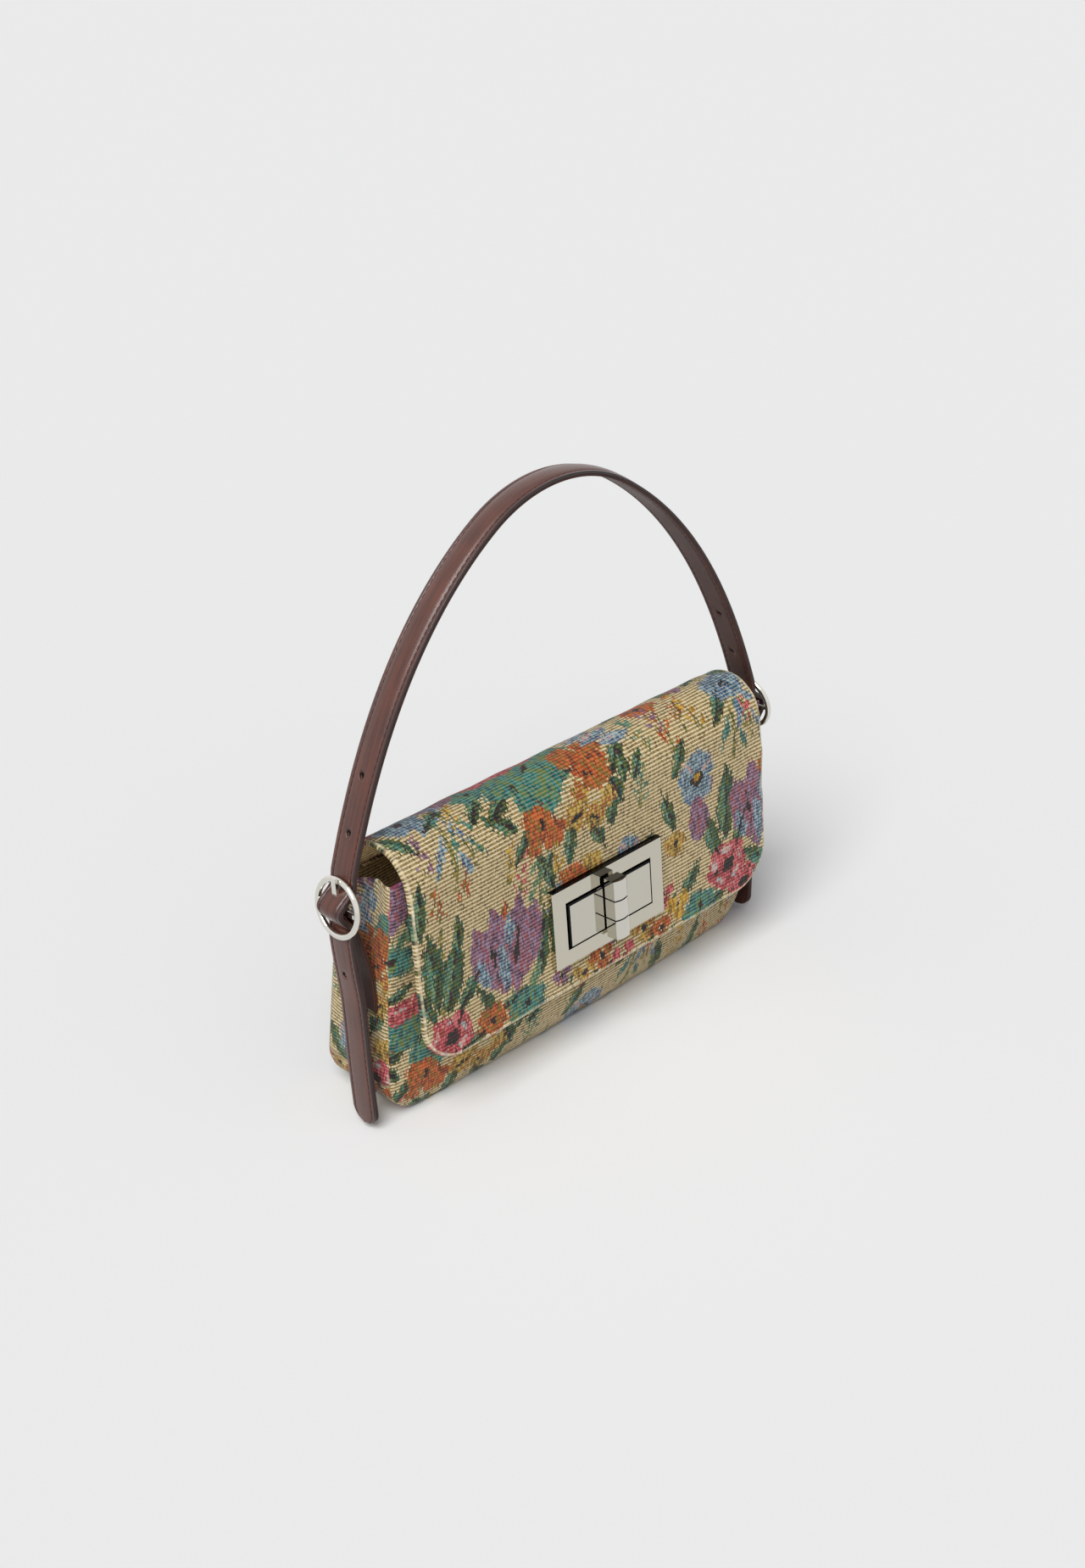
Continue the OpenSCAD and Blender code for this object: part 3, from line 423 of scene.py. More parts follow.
class Graph:
    """Builds the nodes of a new material, or of the tree that is given."""

    def __init__(self, name=None, tree=None):
        if name:
            self.material = bpy.data.materials.new(name)
            self.material.use_nodes = True
        self.tree = tree or self.material.node_tree

    def node(self, kind, inputs=(), **settings):
        node = self.tree.nodes.new(kind)
        for key, value in settings.items():
            setattr(node, key, value)
        for key, value in dict(inputs).items():
            self.feed(node.inputs[key], value)
        return node

    def feed(self, socket, value):
        if isinstance(value, bpy.types.NodeSocket):
            self.tree.links.new(value, socket)
        elif socket.type == "RGBA":
            socket.default_value = (*value, 1)
        else:
            socket.default_value = value

    def math(self, operation, a, b=0.0, c=0.0, clamp=False):
        return self.node("ShaderNodeMath", enumerate((a, b, c)), operation=operation, use_clamp=clamp).outputs[0]

    def mix(self, share, a, b, blend="MIX"):
        return self.node("ShaderNodeMix", {0: share, 6: a, 7: b}, data_type="RGBA", blend_type=blend).outputs[2]

    def lerp(self, share, a, b):
        return self.node("ShaderNodeMix", {0: share, 2: a, 3: b}, data_type="FLOAT").outputs[0]

    def value(self, name):
        return self.node("ShaderNodeAttribute", attribute_name=name).outputs["Fac"]

    def vector(self, x, y, z=0.0):
        return self.node("ShaderNodeCombineXYZ", enumerate((x, y, z))).outputs[0]

    def parts(self, vector):
        return self.node("ShaderNodeSeparateXYZ", {0: vector}).outputs

    def white(self, vector):
        """Four white noise values, from 0 to 1."""
        noise = self.node("ShaderNodeTexWhiteNoise", {"Vector": vector}, noise_dimensions="3D").outputs
        return [noise["Value"], *self.node("ShaderNodeSeparateColor", {0: noise["Color"]}).outputs]

    def noise(self, scale, detail, vector):
        inputs = {"Scale": scale, "Detail": detail, "Vector": vector}
        return self.node("ShaderNodeTexNoise", inputs).outputs["Fac"]

    def place(self):
        """The point's place on the piece at rest, in metres."""
        return self.node("ShaderNodeTexCoord").outputs["Object"]

    def steps(self, value, stops):
        """The colour of the last stop under a value."""
        node = self.node("ShaderNodeValToRGB", {0: value})
        node.color_ramp.interpolation = "CONSTANT"
        while len(node.color_ramp.elements) < len(stops):
            node.color_ramp.elements.new(0.5)
        for element, (where, colour) in zip(node.color_ramp.elements, stops):
            element.position = where
            element.color = (*colour, 1)
        return node.outputs[0]

    def bump(self, height, distance, strength):
        inputs = {"Height": height, "Distance": distance, "Strength": strength}
        return self.node("ShaderNodeBump", inputs).outputs[0]

    def finish(self, **sockets):
        for key, value in sockets.items():
            self.feed(self.tree.nodes["Principled BSDF"].inputs[key.replace("_", " ")], value)
        return self.material


for short, operation in {"add": "ADD", "sub": "SUBTRACT", "mul": "MULTIPLY", "div": "DIVIDE", "mad": "MULTIPLY_ADD",
                         "mod": "MODULO", "floor": "FLOOR", "fract": "FRACT", "abs": "ABSOLUTE", "sin": "SINE",
                         "max": "MAXIMUM", "over": "GREATER_THAN", "under": "LESS_THAN"}.items():
    setattr(Graph, short, partialmethod(Graph.math, operation))


def srgb(r, g, b):
    """A colour from 0..255 display values, as linear light."""
    return tuple((c / 255 / 12.92) if c <= 10.3 else ((c / 255 + 0.055) / 1.055) ** 2.4 for c in (r, g, b))


# Each layer: four thread colours from 0 to 255, the share of the cream weft that shows, and how ragged its edge
# is in mm
THREADS = {
    "stem": ((70, 78, 34), (112, 106, 40), (140, 126, 56), (58, 70, 44), 0.4, 2.0),
    "leaf": ((26, 36, 28), (40, 66, 40), (78, 88, 34), (30, 84, 74), 0.16, 2.6),
    "leaf_light": ((40, 96, 84), (84, 108, 52), (112, 142, 112), (58, 120, 112), 0.36, 2.6),
    "teal": ((24, 74, 72), (40, 106, 104), (72, 134, 124), (96, 116, 66), 0.3, 3.0),
    "mustard": ((98, 78, 36), (166, 130, 58), (204, 172, 96), (150, 84, 44), 0.34, 2.6),
    "rust": ((104, 50, 32), (164, 76, 44), (200, 108, 66), (128, 96, 44), 0.2, 3.0),
    "rose": ((128, 44, 58), (178, 70, 86), (212, 116, 122), (150, 58, 60), 0.24, 2.6),
    "violet": ((78, 52, 78), (118, 82, 112), (146, 118, 144), (140, 70, 84), 0.34, 2.6),
    "blue": ((48, 66, 98), (84, 116, 144), (148, 172, 184), (62, 92, 110), 0.5, 2.6),
    "pale": ((196, 128, 130), (190, 196, 190), (214, 160, 150), (150, 172, 184), 0.4, 2.0),
    "dark": ((22, 22, 24), (40, 30, 36), (34, 40, 34), (70, 36, 40), 0.06, 1.6),
    "gold": ((150, 108, 40), (190, 146, 62), (216, 178, 90), (120, 96, 44), 0.2, 2.0),
}
CREAM, CREAM_DULL = srgb(234, 222, 194), srgb(212, 196, 160)
GROUND = (srgb(166, 144, 96), srgb(152, 129, 80), srgb(134, 112, 66), srgb(178, 158, 112))
# The second colour is painted shade, laid into the valleys between the ribs.
TICK, RIB_SHADE = srgb(92, 76, 46), srgb(66, 54, 34)


def deep(colour):
    """A thread colour as it looks in the dense weave: darker and purer."""
    colour = srgb(*colour)
    middle = sum(colour) / 3
    return tuple(min(1.0, max(0.004, 0.8 * (middle + (c - middle) * 1.16))) for c in colour)


def tapestry(name, tint=(1, 1, 1), through=0.0):
    """Ribbed jacquard: each thread of each rib takes one colour, so the motifs have stepped woven edges. through sets a
    painted glow of the cloth's own colour.
    """
    g = Graph(name)
    u, v = g.value("cloth_u"), g.value("cloth_v")
    wander = g.noise(1.0, 2.0, g.vector(g.mul(u, 0.03), g.mul(v, 0.03)))
    ribs = g.mad(wander, 0.7, g.div(v, RIB))
    row, across = g.floor(ribs), g.fract(ribs)
    threads = g.mad(g.mod(row, 2.0), 0.5, g.div(u, THREAD))
    column, along = g.floor(threads), g.fract(threads)
    cell = g.white(g.vector(column, row, 0.0))
    lobes = g.noise(0.14, 2.0, g.vector(g.mul(column, THREAD), g.mul(row, RIB)))
    strokes = g.noise(0.2, 1.0, g.vector(g.mul(column, THREAD * 1.6), g.mul(row, RIB), 9.0))
    offset = g.mul(g.white(g.vector(column, 3.0, 7.0))[0], 3.0)
    drawn = g.white(g.vector(column, g.floor(g.mul(g.add(row, offset), 0.45)), 5.0))
    tone = g.mad(drawn[0], 0.74, g.mad(strokes, 2.2, -0.96))
    edge = g.mad(lobes, 5.0, -2.5)
    colour = g.steps(g.mad(cell[2], 0.8, g.mul(lobes, 0.3)), list(zip((0.0, 0.35, 0.72, 0.86), GROUND)))
    colour = g.mix(g.over(cell[0], 0.86), colour, TICK)
    shows = 0.95
    for layer in LAYERS:
        *dyes, weft_share, ragged = THREADS[layer]
        inside = g.sub(g.mad(g.sub(cell[0], 0.5), ragged, edge), g.value("motif_" + layer))
        mask = g.over(inside, 0.0)
        depth = g.mul(inside, 0.016, clamp=True)
        thread = g.steps(g.add(tone, depth), list(zip((0.0, 0.3, 0.55, 0.8), map(deep, dyes))))
        colour = g.mix(mask, colour, thread)
        shows = g.lerp(mask, shows, weft_share * 0.72)
    from_middle = g.abs(g.sub(across, 0.5))
    weft = g.mad(from_middle, -11.0, 2.45, clamp=True)
    steady = g.mad(cell[3], 0.25, 0.78, clamp=True)
    hem = g.mad(g.value("hem"), -2.5, 1.6, clamp=True)
    shown = g.max(g.mul(g.mul(weft, shows), steady), g.mul(hem, g.mad(cell[3], 0.7, 0.3)))
    colour = g.mix(shown, colour, g.mix(cell[1], CREAM, CREAM_DULL))
    # Painted shade: the colour darkens in the valleys between the ribs.
    rib_shade = g.mad(from_middle, 7.0, -2.6, clamp=True)
    colour = g.mix(g.mul(rib_shade, 0.22), colour, RIB_SHADE)
    colour = g.mix(1.0, colour, tint, "MULTIPLY")
    rib, strand = g.sin(g.mul(across, math.pi)), g.sin(g.mul(along, math.pi))
    fuzz = g.noise(1.0, 3.0, g.vector(g.mul(u, 1.9), g.mul(v, 1.1)))
    height = g.mad(rib, 0.6, g.mad(strand, 0.14, g.mul(fuzz, 0.3)))
    # Emission_Strength through is a painted glow: the cloth gives off light of its own colour, standing in for light
    # bounced into the bag.
    return g.finish(Base_Color=colour, Roughness=g.mad(fuzz, 0.16, 0.74), Normal=g.bump(height, 0.0004, 0.8),
                    Specular_IOR_Level=0.2, Sheen_Weight=0.1, Sheen_Roughness=0.5, Emission_Color=colour,
                    Emission_Strength=through)


def leather(name, base, dark, rough, grain=0.00006, gloss=0.0, sheen_shade_and_edges=False):
    """Grained leather. On the strap it adds lighter streaks along its length as painted highlight, painted shade in the
    stitched channels and a darker colour on the bevels.
    """
    g = Graph(name)
    place = g.place()
    cells = g.node("ShaderNodeTexVoronoi", {"Vector": place, "Scale": 1500.0}, feature="DISTANCE_TO_EDGE")
    pores = g.mul(cells.outputs["Distance"], 2.2, clamp=True)
    colour = g.mix(g.mad(g.noise(70.0, 4.0, place), 1.5, -0.3, clamp=True), base, dark)
    colour = g.mix(g.mad(pores, -0.25, 0.25), colour, dark)
    if sheen_shade_and_edges:
        across, run = g.value("strap_w"), g.value("strap_s")
        # Painted highlight: lighter, redder streaks along the strap.
        sheen_streak = g.noise(1.0, 3.0, g.vector(g.mul(across, 0.5), g.mul(run, 0.03)))
        colour = g.mix(g.mad(sheen_streak, 2.4, -0.9, clamp=True), colour, srgb(98, 50, 35))
        # Painted shade: darkens the stitched channels.
        channel_shade = g.mad(g.abs(g.sub(across, SEAM_W)), -2.2, 1.2, clamp=True)
        colour = g.mix(g.mul(channel_shade, 0.75), colour, srgb(52, 22, 20))
        colour = g.mix(g.mad(across, 2.4, -18.2, clamp=True), colour, srgb(42, 24, 22))
    height = g.mad(g.noise(900.0, 3.0, place), 0.6, pores)
    shine = g.mad(g.noise(26.0, 3.0, place), 0.24, rough - 0.12)
    return g.finish(Base_Color=colour, Roughness=shine, Normal=g.bump(height, grain, 0.7),
                    Specular_IOR_Level=0.35 + 0.15 * gloss, Coat_Weight=0.25 * gloss, Coat_Roughness=0.16)


def metal(name, colour, rough, scratch=0.0, lock=None):
    """A plated or plain metal. On a part of the lock, lock adds a painted reflection, dark on upward faces, and painted
    shade in the knob's grooves, the window's gap and along the base's top and left edges.
    """
    g = Graph(name)
    place = g.place()
    stretched = g.node("ShaderNodeMapping", {"Vector": place, "Scale": (60, 60, 900)})
    fine = g.noise(12.0, 4.0, stretched.outputs[0])
    smudge = g.noise(90.0, 3.0, place)
    tone = g.mix(g.mul(smudge, 0.12), colour, tuple(c * 0.8 for c in colour))
    if lock:
        normal, at = g.parts(g.node("ShaderNodeTexCoord").outputs["Normal"]), g.parts(place)
        c, t = math.cos(FLAP_TILT), math.sin(FLAP_TILT)
        facing = g.mad(normal[2], t, g.mul(normal[1], -c))
        upward = g.mad(normal[2], c, g.mul(normal[1], t))
        height = g.sub(g.mad(at[2], c, g.mul(at[1], t)), (LOCK_AT[0] * t + LOCK_AT[1] * c) * MM)
        level = g.abs(height)
        # Painted reflection: faces turned upwards take a near-black tone, standing for the dark ceiling they mirror.
        dark = g.over(upward, 0.7)
        if lock == "knob":
            # Painted shade in the knob's grooves.
            dark = g.max(dark, g.under(g.abs(g.sub(level, KNOB_GROOVE * MM)), GROOVE_HALF_W * MM))
        else:
            # Painted shade: walls inside the window's gap that do not face out are darkened.
            inside = g.mul(g.under(g.abs(at[0]), (WINDOW_HALF_W + GAP_MARGIN) * MM),
                           g.under(level, (WINDOW_HALF_H + GAP_MARGIN) * MM))
            dark = g.max(dark, g.mul(g.under(facing, 0.6), inside))
        if lock == "base":
            # Painted shadow: dark bands along the base's top and left edges, as a shadow gap in the window.
            dark = g.max(dark, g.over(height, (BASE_HALF_H - SHADOW_BAND_TOP) * MM))
            dark = g.max(dark, g.under(at[0], (SHADOW_BAND_LEFT - BASE_HALF_W) * MM))
        # Painted reflection and painted shade: the masked faces take a near-black tone, and a brown-black one on the
        # knob.
        tone = g.mix(dark, tone, (0.09, 0.082, 0.07) if lock == "knob" else (0.012, 0.012, 0.012))
    roughness = g.add(g.mad(smudge, 0.05, rough), g.mul(fine, scratch))
    return g.finish(Base_Color=tone, Metallic=1.0, Roughness=roughness, Normal=g.bump(fine, 0.00001, 0.15 + scratch))


def twill(name, base, dark, pitch=1.1, through=0.0):
    g = Graph(name)
    x, y, z = g.parts(g.place())
    slant = g.mul(g.add(g.add(x, y), z), 1 / (pitch * MM))
    wave = g.abs(g.sub(g.fract(slant), 0.5))
    threads = g.noise(1400.0, 2.0, g.place())
    colour = g.mix(g.mul(wave, 1.5, clamp=True), base, dark)
    colour = g.mix(g.mul(g.noise(40.0, 3.0, g.place()), 0.35), colour, dark)
    height = g.mad(threads, 0.5, g.mul(wave, -1.0))
    # Emission_Strength through is a painted glow of the cloth's own colour, standing in for bounced light.
    return g.finish(Base_Color=colour, Roughness=g.mad(threads, 0.15, 0.72), Normal=g.bump(height, 0.00015, 0.8),
                    Specular_IOR_Level=0.25, Sheen_Weight=0.1, Emission_Color=colour, Emission_Strength=through)


def thread_finish(name, base):
    g = Graph(name)
    twist = g.noise(2600.0, 2.0, g.place())
    colour = g.mix(twist, base, tuple(c * 0.55 for c in base))
    return g.finish(Base_Color=colour, Roughness=g.mad(twist, 0.2, 0.5), Normal=g.bump(twist, 0.0001, 0.6))


WEAVE = tapestry("woven_tapestry")
# The facing carries a painted glow of 0.24, standing in for light bounced into the bag's mouth.
FACING = tapestry("woven_facing", (1.0, 0.92, 0.8), 0.24)
# The lining carries a painted glow of 0.12, standing in for light bounced into the bag.
LINING = twill("lining_twill", srgb(124, 100, 78), srgb(86, 67, 52), through=0.12)
# The strap's leather carries painted highlight streaks and painted shade in its stitched channels.
LEATHER = leather("strap_leather", srgb(90, 46, 34), srgb(52, 26, 20), 0.34, gloss=1.0, sheen_shade_and_edges=True)
LEATHER_EDGE = leather("leather_edge", srgb(44, 26, 24), srgb(30, 18, 17), 0.46, 0.00003)
LEATHER_BACK = leather("strap_back_leather", srgb(82, 48, 39), srgb(54, 32, 26), 0.5)
STITCH = thread_finish("stitch_thread", srgb(56, 18, 18))
NICKEL = metal("polished_nickel", (0.74, 0.72, 0.66), 0.05)
FRAME_NICKEL = metal("frame_nickel", (0.6, 0.57, 0.48), 0.045, lock="frame")
BASE_NICKEL = metal("base_nickel", (0.6, 0.575, 0.5), 0.045, lock="base")
KNOB_NICKEL = metal("knob_nickel", (0.66, 0.64, 0.58), 0.05, lock="knob")
STEEL = metal("plain_steel", (0.56, 0.56, 0.55), 0.3, 0.12)
BOARD = twill("board_cover", srgb(88, 70, 56), srgb(60, 46, 38), 0.9)


def dress(obj, *materials):
    obj.data.materials.clear()
    for material in materials:
        obj.data.materials.append(material)


# ---------- body ----------

def tuck(z):
    return BASE_TUCK * np.maximum(0, 1 - z / TUCK_H) ** TUCK_POWER


def front_side(z):
    return -FRONT_D - FRONT_LEAN * (z / BODY_H) ** 2 + tuck(z)


def back_side(z):
    return BACK_D - BACK_LEAN * z / BODY_H - tuck(z)


def corner_in(z, inset):
    r = CORNER_R - inset
    return np.where(z >= CORNER_R, 0, r - np.sqrt(np.maximum(0, r * r - (CORNER_R - z) ** 2)))


def half_w(z, inset):
    return BODY_W / 2 - inset - corner_in(z, inset)


def dome(x, z, inset):
    rise = np.maximum(0, np.sin(np.pi * np.clip(z / BODY_H, 0, 1) ** SAG_SHARE))
    return (1 - (x / half_w(z, inset)) ** 2) * rise


def pleat(z, v):
    depth = PLEAT_D * (np.maximum(0, z - PLEAT_Z) / (BODY_H - PLEAT_Z)) ** 1.5
    return depth * (1 - np.cos(2 * np.pi * v)) / 2


def spread(count, fine=(0.0, 0.006, 0.013, 0.022, 0.034, 0.05)):
    """Shares from 0 to 1, close together at both ends."""
    middle = np.linspace(fine[-1], 1 - fine[-1], count)[1:-1]
    return np.concatenate([fine, middle, 1 - np.array(fine[::-1])])


def row_heights(inset, top, rows):
    """Heights of the body's rows at one place whose upper edge is at top."""
    corner = CORNER_R - (CORNER_R - inset) * np.cos(np.linspace(0, np.pi / 2, CORNER_ROWS + 1)[:-1])
    return np.concatenate([corner, CORNER_R + (top - CORNER_R) * np.linspace(0, 1, rows + 1)])


def body_shell(inset, lower, seams, cols=150, gusset_cols=26, rows=76):
    """Grids of the loft round the bag: front, right side, back, left side and base, all facing outwards.

    inset sets the walls in, lower drops the upper edge, and seams scales the valleys along the seams.
    """
    shares = spread(cols)
    side_shares = spread(gusset_cols, (0.0, 0.03, 0.065, 0.11, 0.17))
    strips = []
    for name, side in (("front", 1), ("right", 1), ("back", -1), ("left", -1)):
        wide = name in ("front", "back")
        share = shares if wide else side_shares
        rear = {"front": 0 * share, "right": share, "back": 0 * share + 1, "left": 1 - share}[name]
        tops = BODY_H - lower - (BODY_H - BACK_TOP_Z) * rear
        z = np.stack([row_heights(inset, top, rows) for top in tops], 1)
        q = np.broadcast_to(share, z.shape)
        foot = FOOT_R * np.exp(-((z - inset) / FOOT_R) ** 2)
        if wide:
            x = half_w(z, inset) * (2 * q - 1) * side
            from_seam = (1 - np.abs(2 * q - 1)) * BODY_W / 2
            at_seam = np.exp(-(from_seam / SEAM_REACH) ** 2)
            pucker = PUCKER * np.exp(-from_seam / 12) * np.sin(z * 0.42 + 3 * np.sin(z * 0.11))
            if name == "front":
                low = np.exp(-((z - 20) / 16) ** 2)
                sag = 0.9 * np.maximum(0, ripple(x / 92, z / 120, 1.3)) * low + 0.35 * (ripple(x / 40, z / 55, 0.4) + 1)
            else:
                sag = 0.55 * (ripple(x / 84, z / 90, 2.2) + 1) + 0.25 * (ripple(x / 36, z / 40, 0.7) + 1)
            out = (FRONT_CROWN if name == "front" else BACK_CROWN) * dome(x, z, inset)
            drop = (sag + np.abs(pucker)) * (1 - at_seam) + seams * SEAM_IN_Y * at_seam + foot + inset - out
            y = front_side(z) + drop if name == "front" else back_side(z) - drop
            x = x - np.sign(x) * seams * SEAM_IN_X * at_seam
            u, w = (x + 205, z + 78) if name == "front" else (-x + 130, z + 10)
        else:
            v = q if name == "right" else 1 - q
            y0, y1 = front_side(z) + inset, back_side(z) - inset
            gap = np.minimum(v, 1 - v) * (y1 - y0)
            at_seam = np.exp(-(gap / SEAM_REACH) ** 2)
            sag = 0.5 * (ripple(v * 1.6, z / 48, 0.9 + side) + 1) * (1 - at_seam)
            belly = 1.6 * np.sin(np.pi * v) * np.exp(-((z - 46) / 30) ** 2)
            x = side * (half_w(z, inset) - pleat(z, v) - sag + belly - seams * SEAM_IN_X * at_seam)
            y = y0 * (1 - v) + y1 * v + np.where(v < 0.5, 1, -1) * (seams * SEAM_IN_Y * at_seam + foot * (gap < 1e-6))
            arc = np.where(z < CORNER_R, CORNER_R * (1 - np.arccos(np.clip((CORNER_R - z) / CORNER_R, -1, 1))), z)
            u, w = v * 52 + (118 if side < 0 else 215), arc + 20
        strips.append((np.stack([x, y, z], -1), u + 0 * z, w + 0 * z))
    front, right, back, left = (strip[0][0] for strip in strips)
    back, left = back[::-1], left[::-1]
    s, t = shares[None, :, None], side_shares[:, None, None]
    corners = (1 - t) * ((1 - s) * front[0] + s * front[-1]) + t * ((1 - s) * back[0] + s * back[-1])
    base = ((1 - t) * front + t * back + (1 - s) * left[:, None] + s * right[:, None] - corners)[::-1]
    strips.append((base, base[..., 0] + 205, base[..., 1] + 40))
    return strips


def skin(name, inset, lower, thickness, seams, weave, **density):
    """The loft as one closed skin of a given thickness, open at the top, where its two faces meet in a round rim."""
    outer = body_shell(inset, lower, seams, **density)
    inner = body_shell(inset + thickness, lower, 0.0, **density)
    parts = []
    for number, ((points, u, w), (inside, _, _)) in enumerate(zip(outer, inner)):
        rows, cols = points.shape[:2]
        data, bare = ({k: d.reshape(-1) for k, d in weave_data(u, w, plain=plain).items()} if weave else {}
                      for plain in (False, True))
        faces = grid_faces(rows, cols)
        parts.append((points.reshape(-1, 3), faces, np.zeros(len(faces), int), data))
        parts.append((inside.reshape(-1, 3), faces[:, ::-1], np.ones(len(faces), int), bare))
        if number < 4:
            turn = np.linspace(0, np.pi, 6)[:, None, None]
            middle, reach = (points[-1] + inside[-1]) / 2, (points[-1] - inside[-1]) / 2
            rim = middle + reach * np.cos(turn) + np.array([0, 0, thickness / 2]) * np.sin(turn)
            data = {k: np.tile(d.reshape(rows, cols)[-1], 6) for k, d in data.items()}
            faces = grid_faces(6, cols)
            parts.append((rim.reshape(-1, 3), faces, np.zeros(len(faces), int), data))
    return make_mesh(name, *joined(parts), weld=True)


shell = skin("body_shell", 0.0, PANEL_T / 2, PANEL_T, 1.0, True)
dress(shell, WEAVE, FACING)
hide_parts("front_panel", "back_panel", "left_gusset", "right_gusset", "bottom_panel")
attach(shell, "bag")

inside = skin("body_lining", LINING_IN, FACING_H, LINING_T, 0.0, False, cols=70, gusset_cols=16, rows=40)
dress(inside, LINING, LINING)
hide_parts("front_lining", "back_lining", "gusset_lining")
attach(inside, "bag")


def pocket_grid(out):
    z = np.linspace(POCKET_LOW, POCKET_HIGH, 40)[:, None] + np.zeros(60)
    x = np.linspace(POCKET_HALF_W, -POCKET_HALF_W, 60)[None] + np.zeros(z.shape)
    inset = LINING_IN + LINING_T + POCKET_OFF + out
    sag = POCKET_SAG * np.sin(np.pi * (x / POCKET_HALF_W / 2 + 0.5)) * smooth((z - 60) / 50)
    return np.stack([x, back_side(z) - inset + BACK_CROWN * dome(x, z, inset) - sag, z], -1)


pocket = make_mesh("slip_pocket_cloth", *thick_sheet(pocket_grid(LINING_T), pocket_grid(0.0))[:2])
dress(pocket, LINING)
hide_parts("slip_pocket")
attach(pocket, "bag")


# ---------- flap ----------

def flap_section(s):
    """Points (y, z) of the flap's outer face at lengths s above its lower edge: up, round the fold and down behind."""
    tangent = np.array([FOLD_Y - FOLD_R * math.cos(FLAP_TILT), FOLD_Z + FOLD_R * math.sin(FLAP_TILT)])
    down = np.array([-math.sin(FLAP_TILT), -math.cos(FLAP_TILT)])
    s = s[..., None]
    straight = tangent + down * (FLAP_DROP - s)
    angle = FOLD_TURN - np.clip((s - FLAP_DROP) / FOLD_R, 0, FOLD_TURN)
    bend = np.concatenate([FOLD_Y + FOLD_R * np.cos(angle), FOLD_Z + FOLD_R * np.sin(angle)], -1)
    past = s - FLAP_DROP - FOLD_TURN * FOLD_R
    z = FOLD_Z - past
    tail = np.concatenate([back_side(z) + 2.1 * smooth(past / 5.0), z], -1)
    return np.where(s < FLAP_DROP, straight, np.where(past > 0, tail, bend))


FOLD_TURN = math.pi - FLAP_TILT
FLAP_RUN = FLAP_DROP + FOLD_TURN * FOLD_R + FLAP_TAIL


def flap_grid(depth, side_in, end_in):
    """Grid of the flap at a depth under its outer face, drawn in by side_in and at its tail by end_in.

    Returns the points, their x and length s, and a mask of the faces outside the lock's hole.
    """
    r = FLAP_CORNER_R - side_in
    corner = side_in + r * (1 - np.cos(np.linspace(0, np.pi / 2, 15)))[:-1]
    stops = [side_in + r, LOCK_UP - HOLE_HALF_H, LOCK_UP + HOLE_HALF_H, FLAP_DROP, FLAP_RUN - FLAP_TAIL,
             FLAP_RUN - end_in]
    rows = [corner] + [np.linspace(a, b, max(2, round((b - a) / FLAP_CELL)) + 1)[:-1] for a, b in zip(stops, stops[1:])]
    s = np.concatenate(rows + [stops[-1:]])
    outer = np.linspace(HOLE_HALF_W, FLAP_W / 2, 70)[1:]
    share = np.concatenate([-outer[::-1], np.linspace(-HOLE_HALF_W, HOLE_HALF_W, 49), outer])
    gap = np.clip(side_in + r - s, 0, r)
    half = FLAP_W / 2 - side_in - (r - np.sqrt(r * r - gap ** 2))
    near = np.clip(share, -HOLE_HALF_W, HOLE_HALF_W)
    x = near + (share - near) / (FLAP_W / 2 - HOLE_HALF_W) * (half[:, None] - HOLE_HALF_W)
    step = 0.4
    along = unit(flap_section(s + step) - flap_section(s - step))
    normal = np.stack([-along[:, 1], along[:, 0]], -1)
    thin = smooth((s - (FLAP_RUN - FLAP_TAIL - THIN_RUN)) / THIN_RUN)
    lowered = depth * (1 - thin) + min(depth, TAIL_T) * thin
    raised = flap_wave(x, s[:, None]) - lowered[:, None]
    grid = np.concatenate([x[..., None], flap_section(s)[:, None, :] + normal[:, None, :] * raised[..., None]], -1)
    row_mid, column_mid = (s[:-1] + s[1:]) / 2, (x[:, :-1] + x[:, 1:])[:-1] / 2
    solid = (np.abs(row_mid - LOCK_UP) > HOLE_HALF_H)[:, None] | (np.abs(column_mid) > HOLE_HALF_W)
    return grid, x, s[:, None] + np.zeros(x.shape), solid


def flap_wave(x, s):
    """Soft unevenness of the flap: none at the lock and the hinge."""
    free = 1 - np.exp(-((x / 58) ** 4 + ((s - LOCK_UP) / 40) ** 4))
    free = free * smooth((FLAP_RUN - FLAP_TAIL - s) / 20)
    edge = smooth((np.abs(x) - 90) / 40) * 0.5 + smooth((20 - s) / 20) * 0.35
    return free * (0.35 * ripple(x / 70, s / 64, 0.6) + edge * ripple(x / 46, s / 38, 1.9))


outer, x, s, solid = flap_grid(0.0, FLAP_T / 2, FLAP_END_IN)
inner = flap_grid(FLAP_T, FLAP_T / 2, FLAP_END_IN)[0]
side, r = FLAP_W / 2 - np.abs(x), FLAP_CORNER_R
hem = np.where((side < r) & (s < r), r - np.hypot(r - side, r - s), np.minimum(side, s))
data = weave_data(x + 130.0, s, hem - FLAP_T / 2)
points, faces, sides, data = thick_sheet(outer, inner, solid, 6, data)
flap = make_mesh("flap_weave", points, faces, (sides == 2).astype(int), data)
dress(flap, WEAVE, FACING)
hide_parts("flap_panel", "flap_stiffener", "flap_lining")
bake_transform(flap)

lined, x, s, solid = flap_grid(FLAP_T + FACING_LOW, FACING_IN, FACING_END_IN)
under = flap_grid(FLAP_T - FACING_SUNK, FACING_IN, FACING_END_IN)[0]
points, faces, sides, data = thick_sheet(under, lined, solid, 4, weave_data(x, s, plain=True))
flap_lining = make_mesh("flap_underside", points, faces, corner_data=data)
dress(flap_lining, FACING)
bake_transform(flap_lining)


# ---------- strap ----------

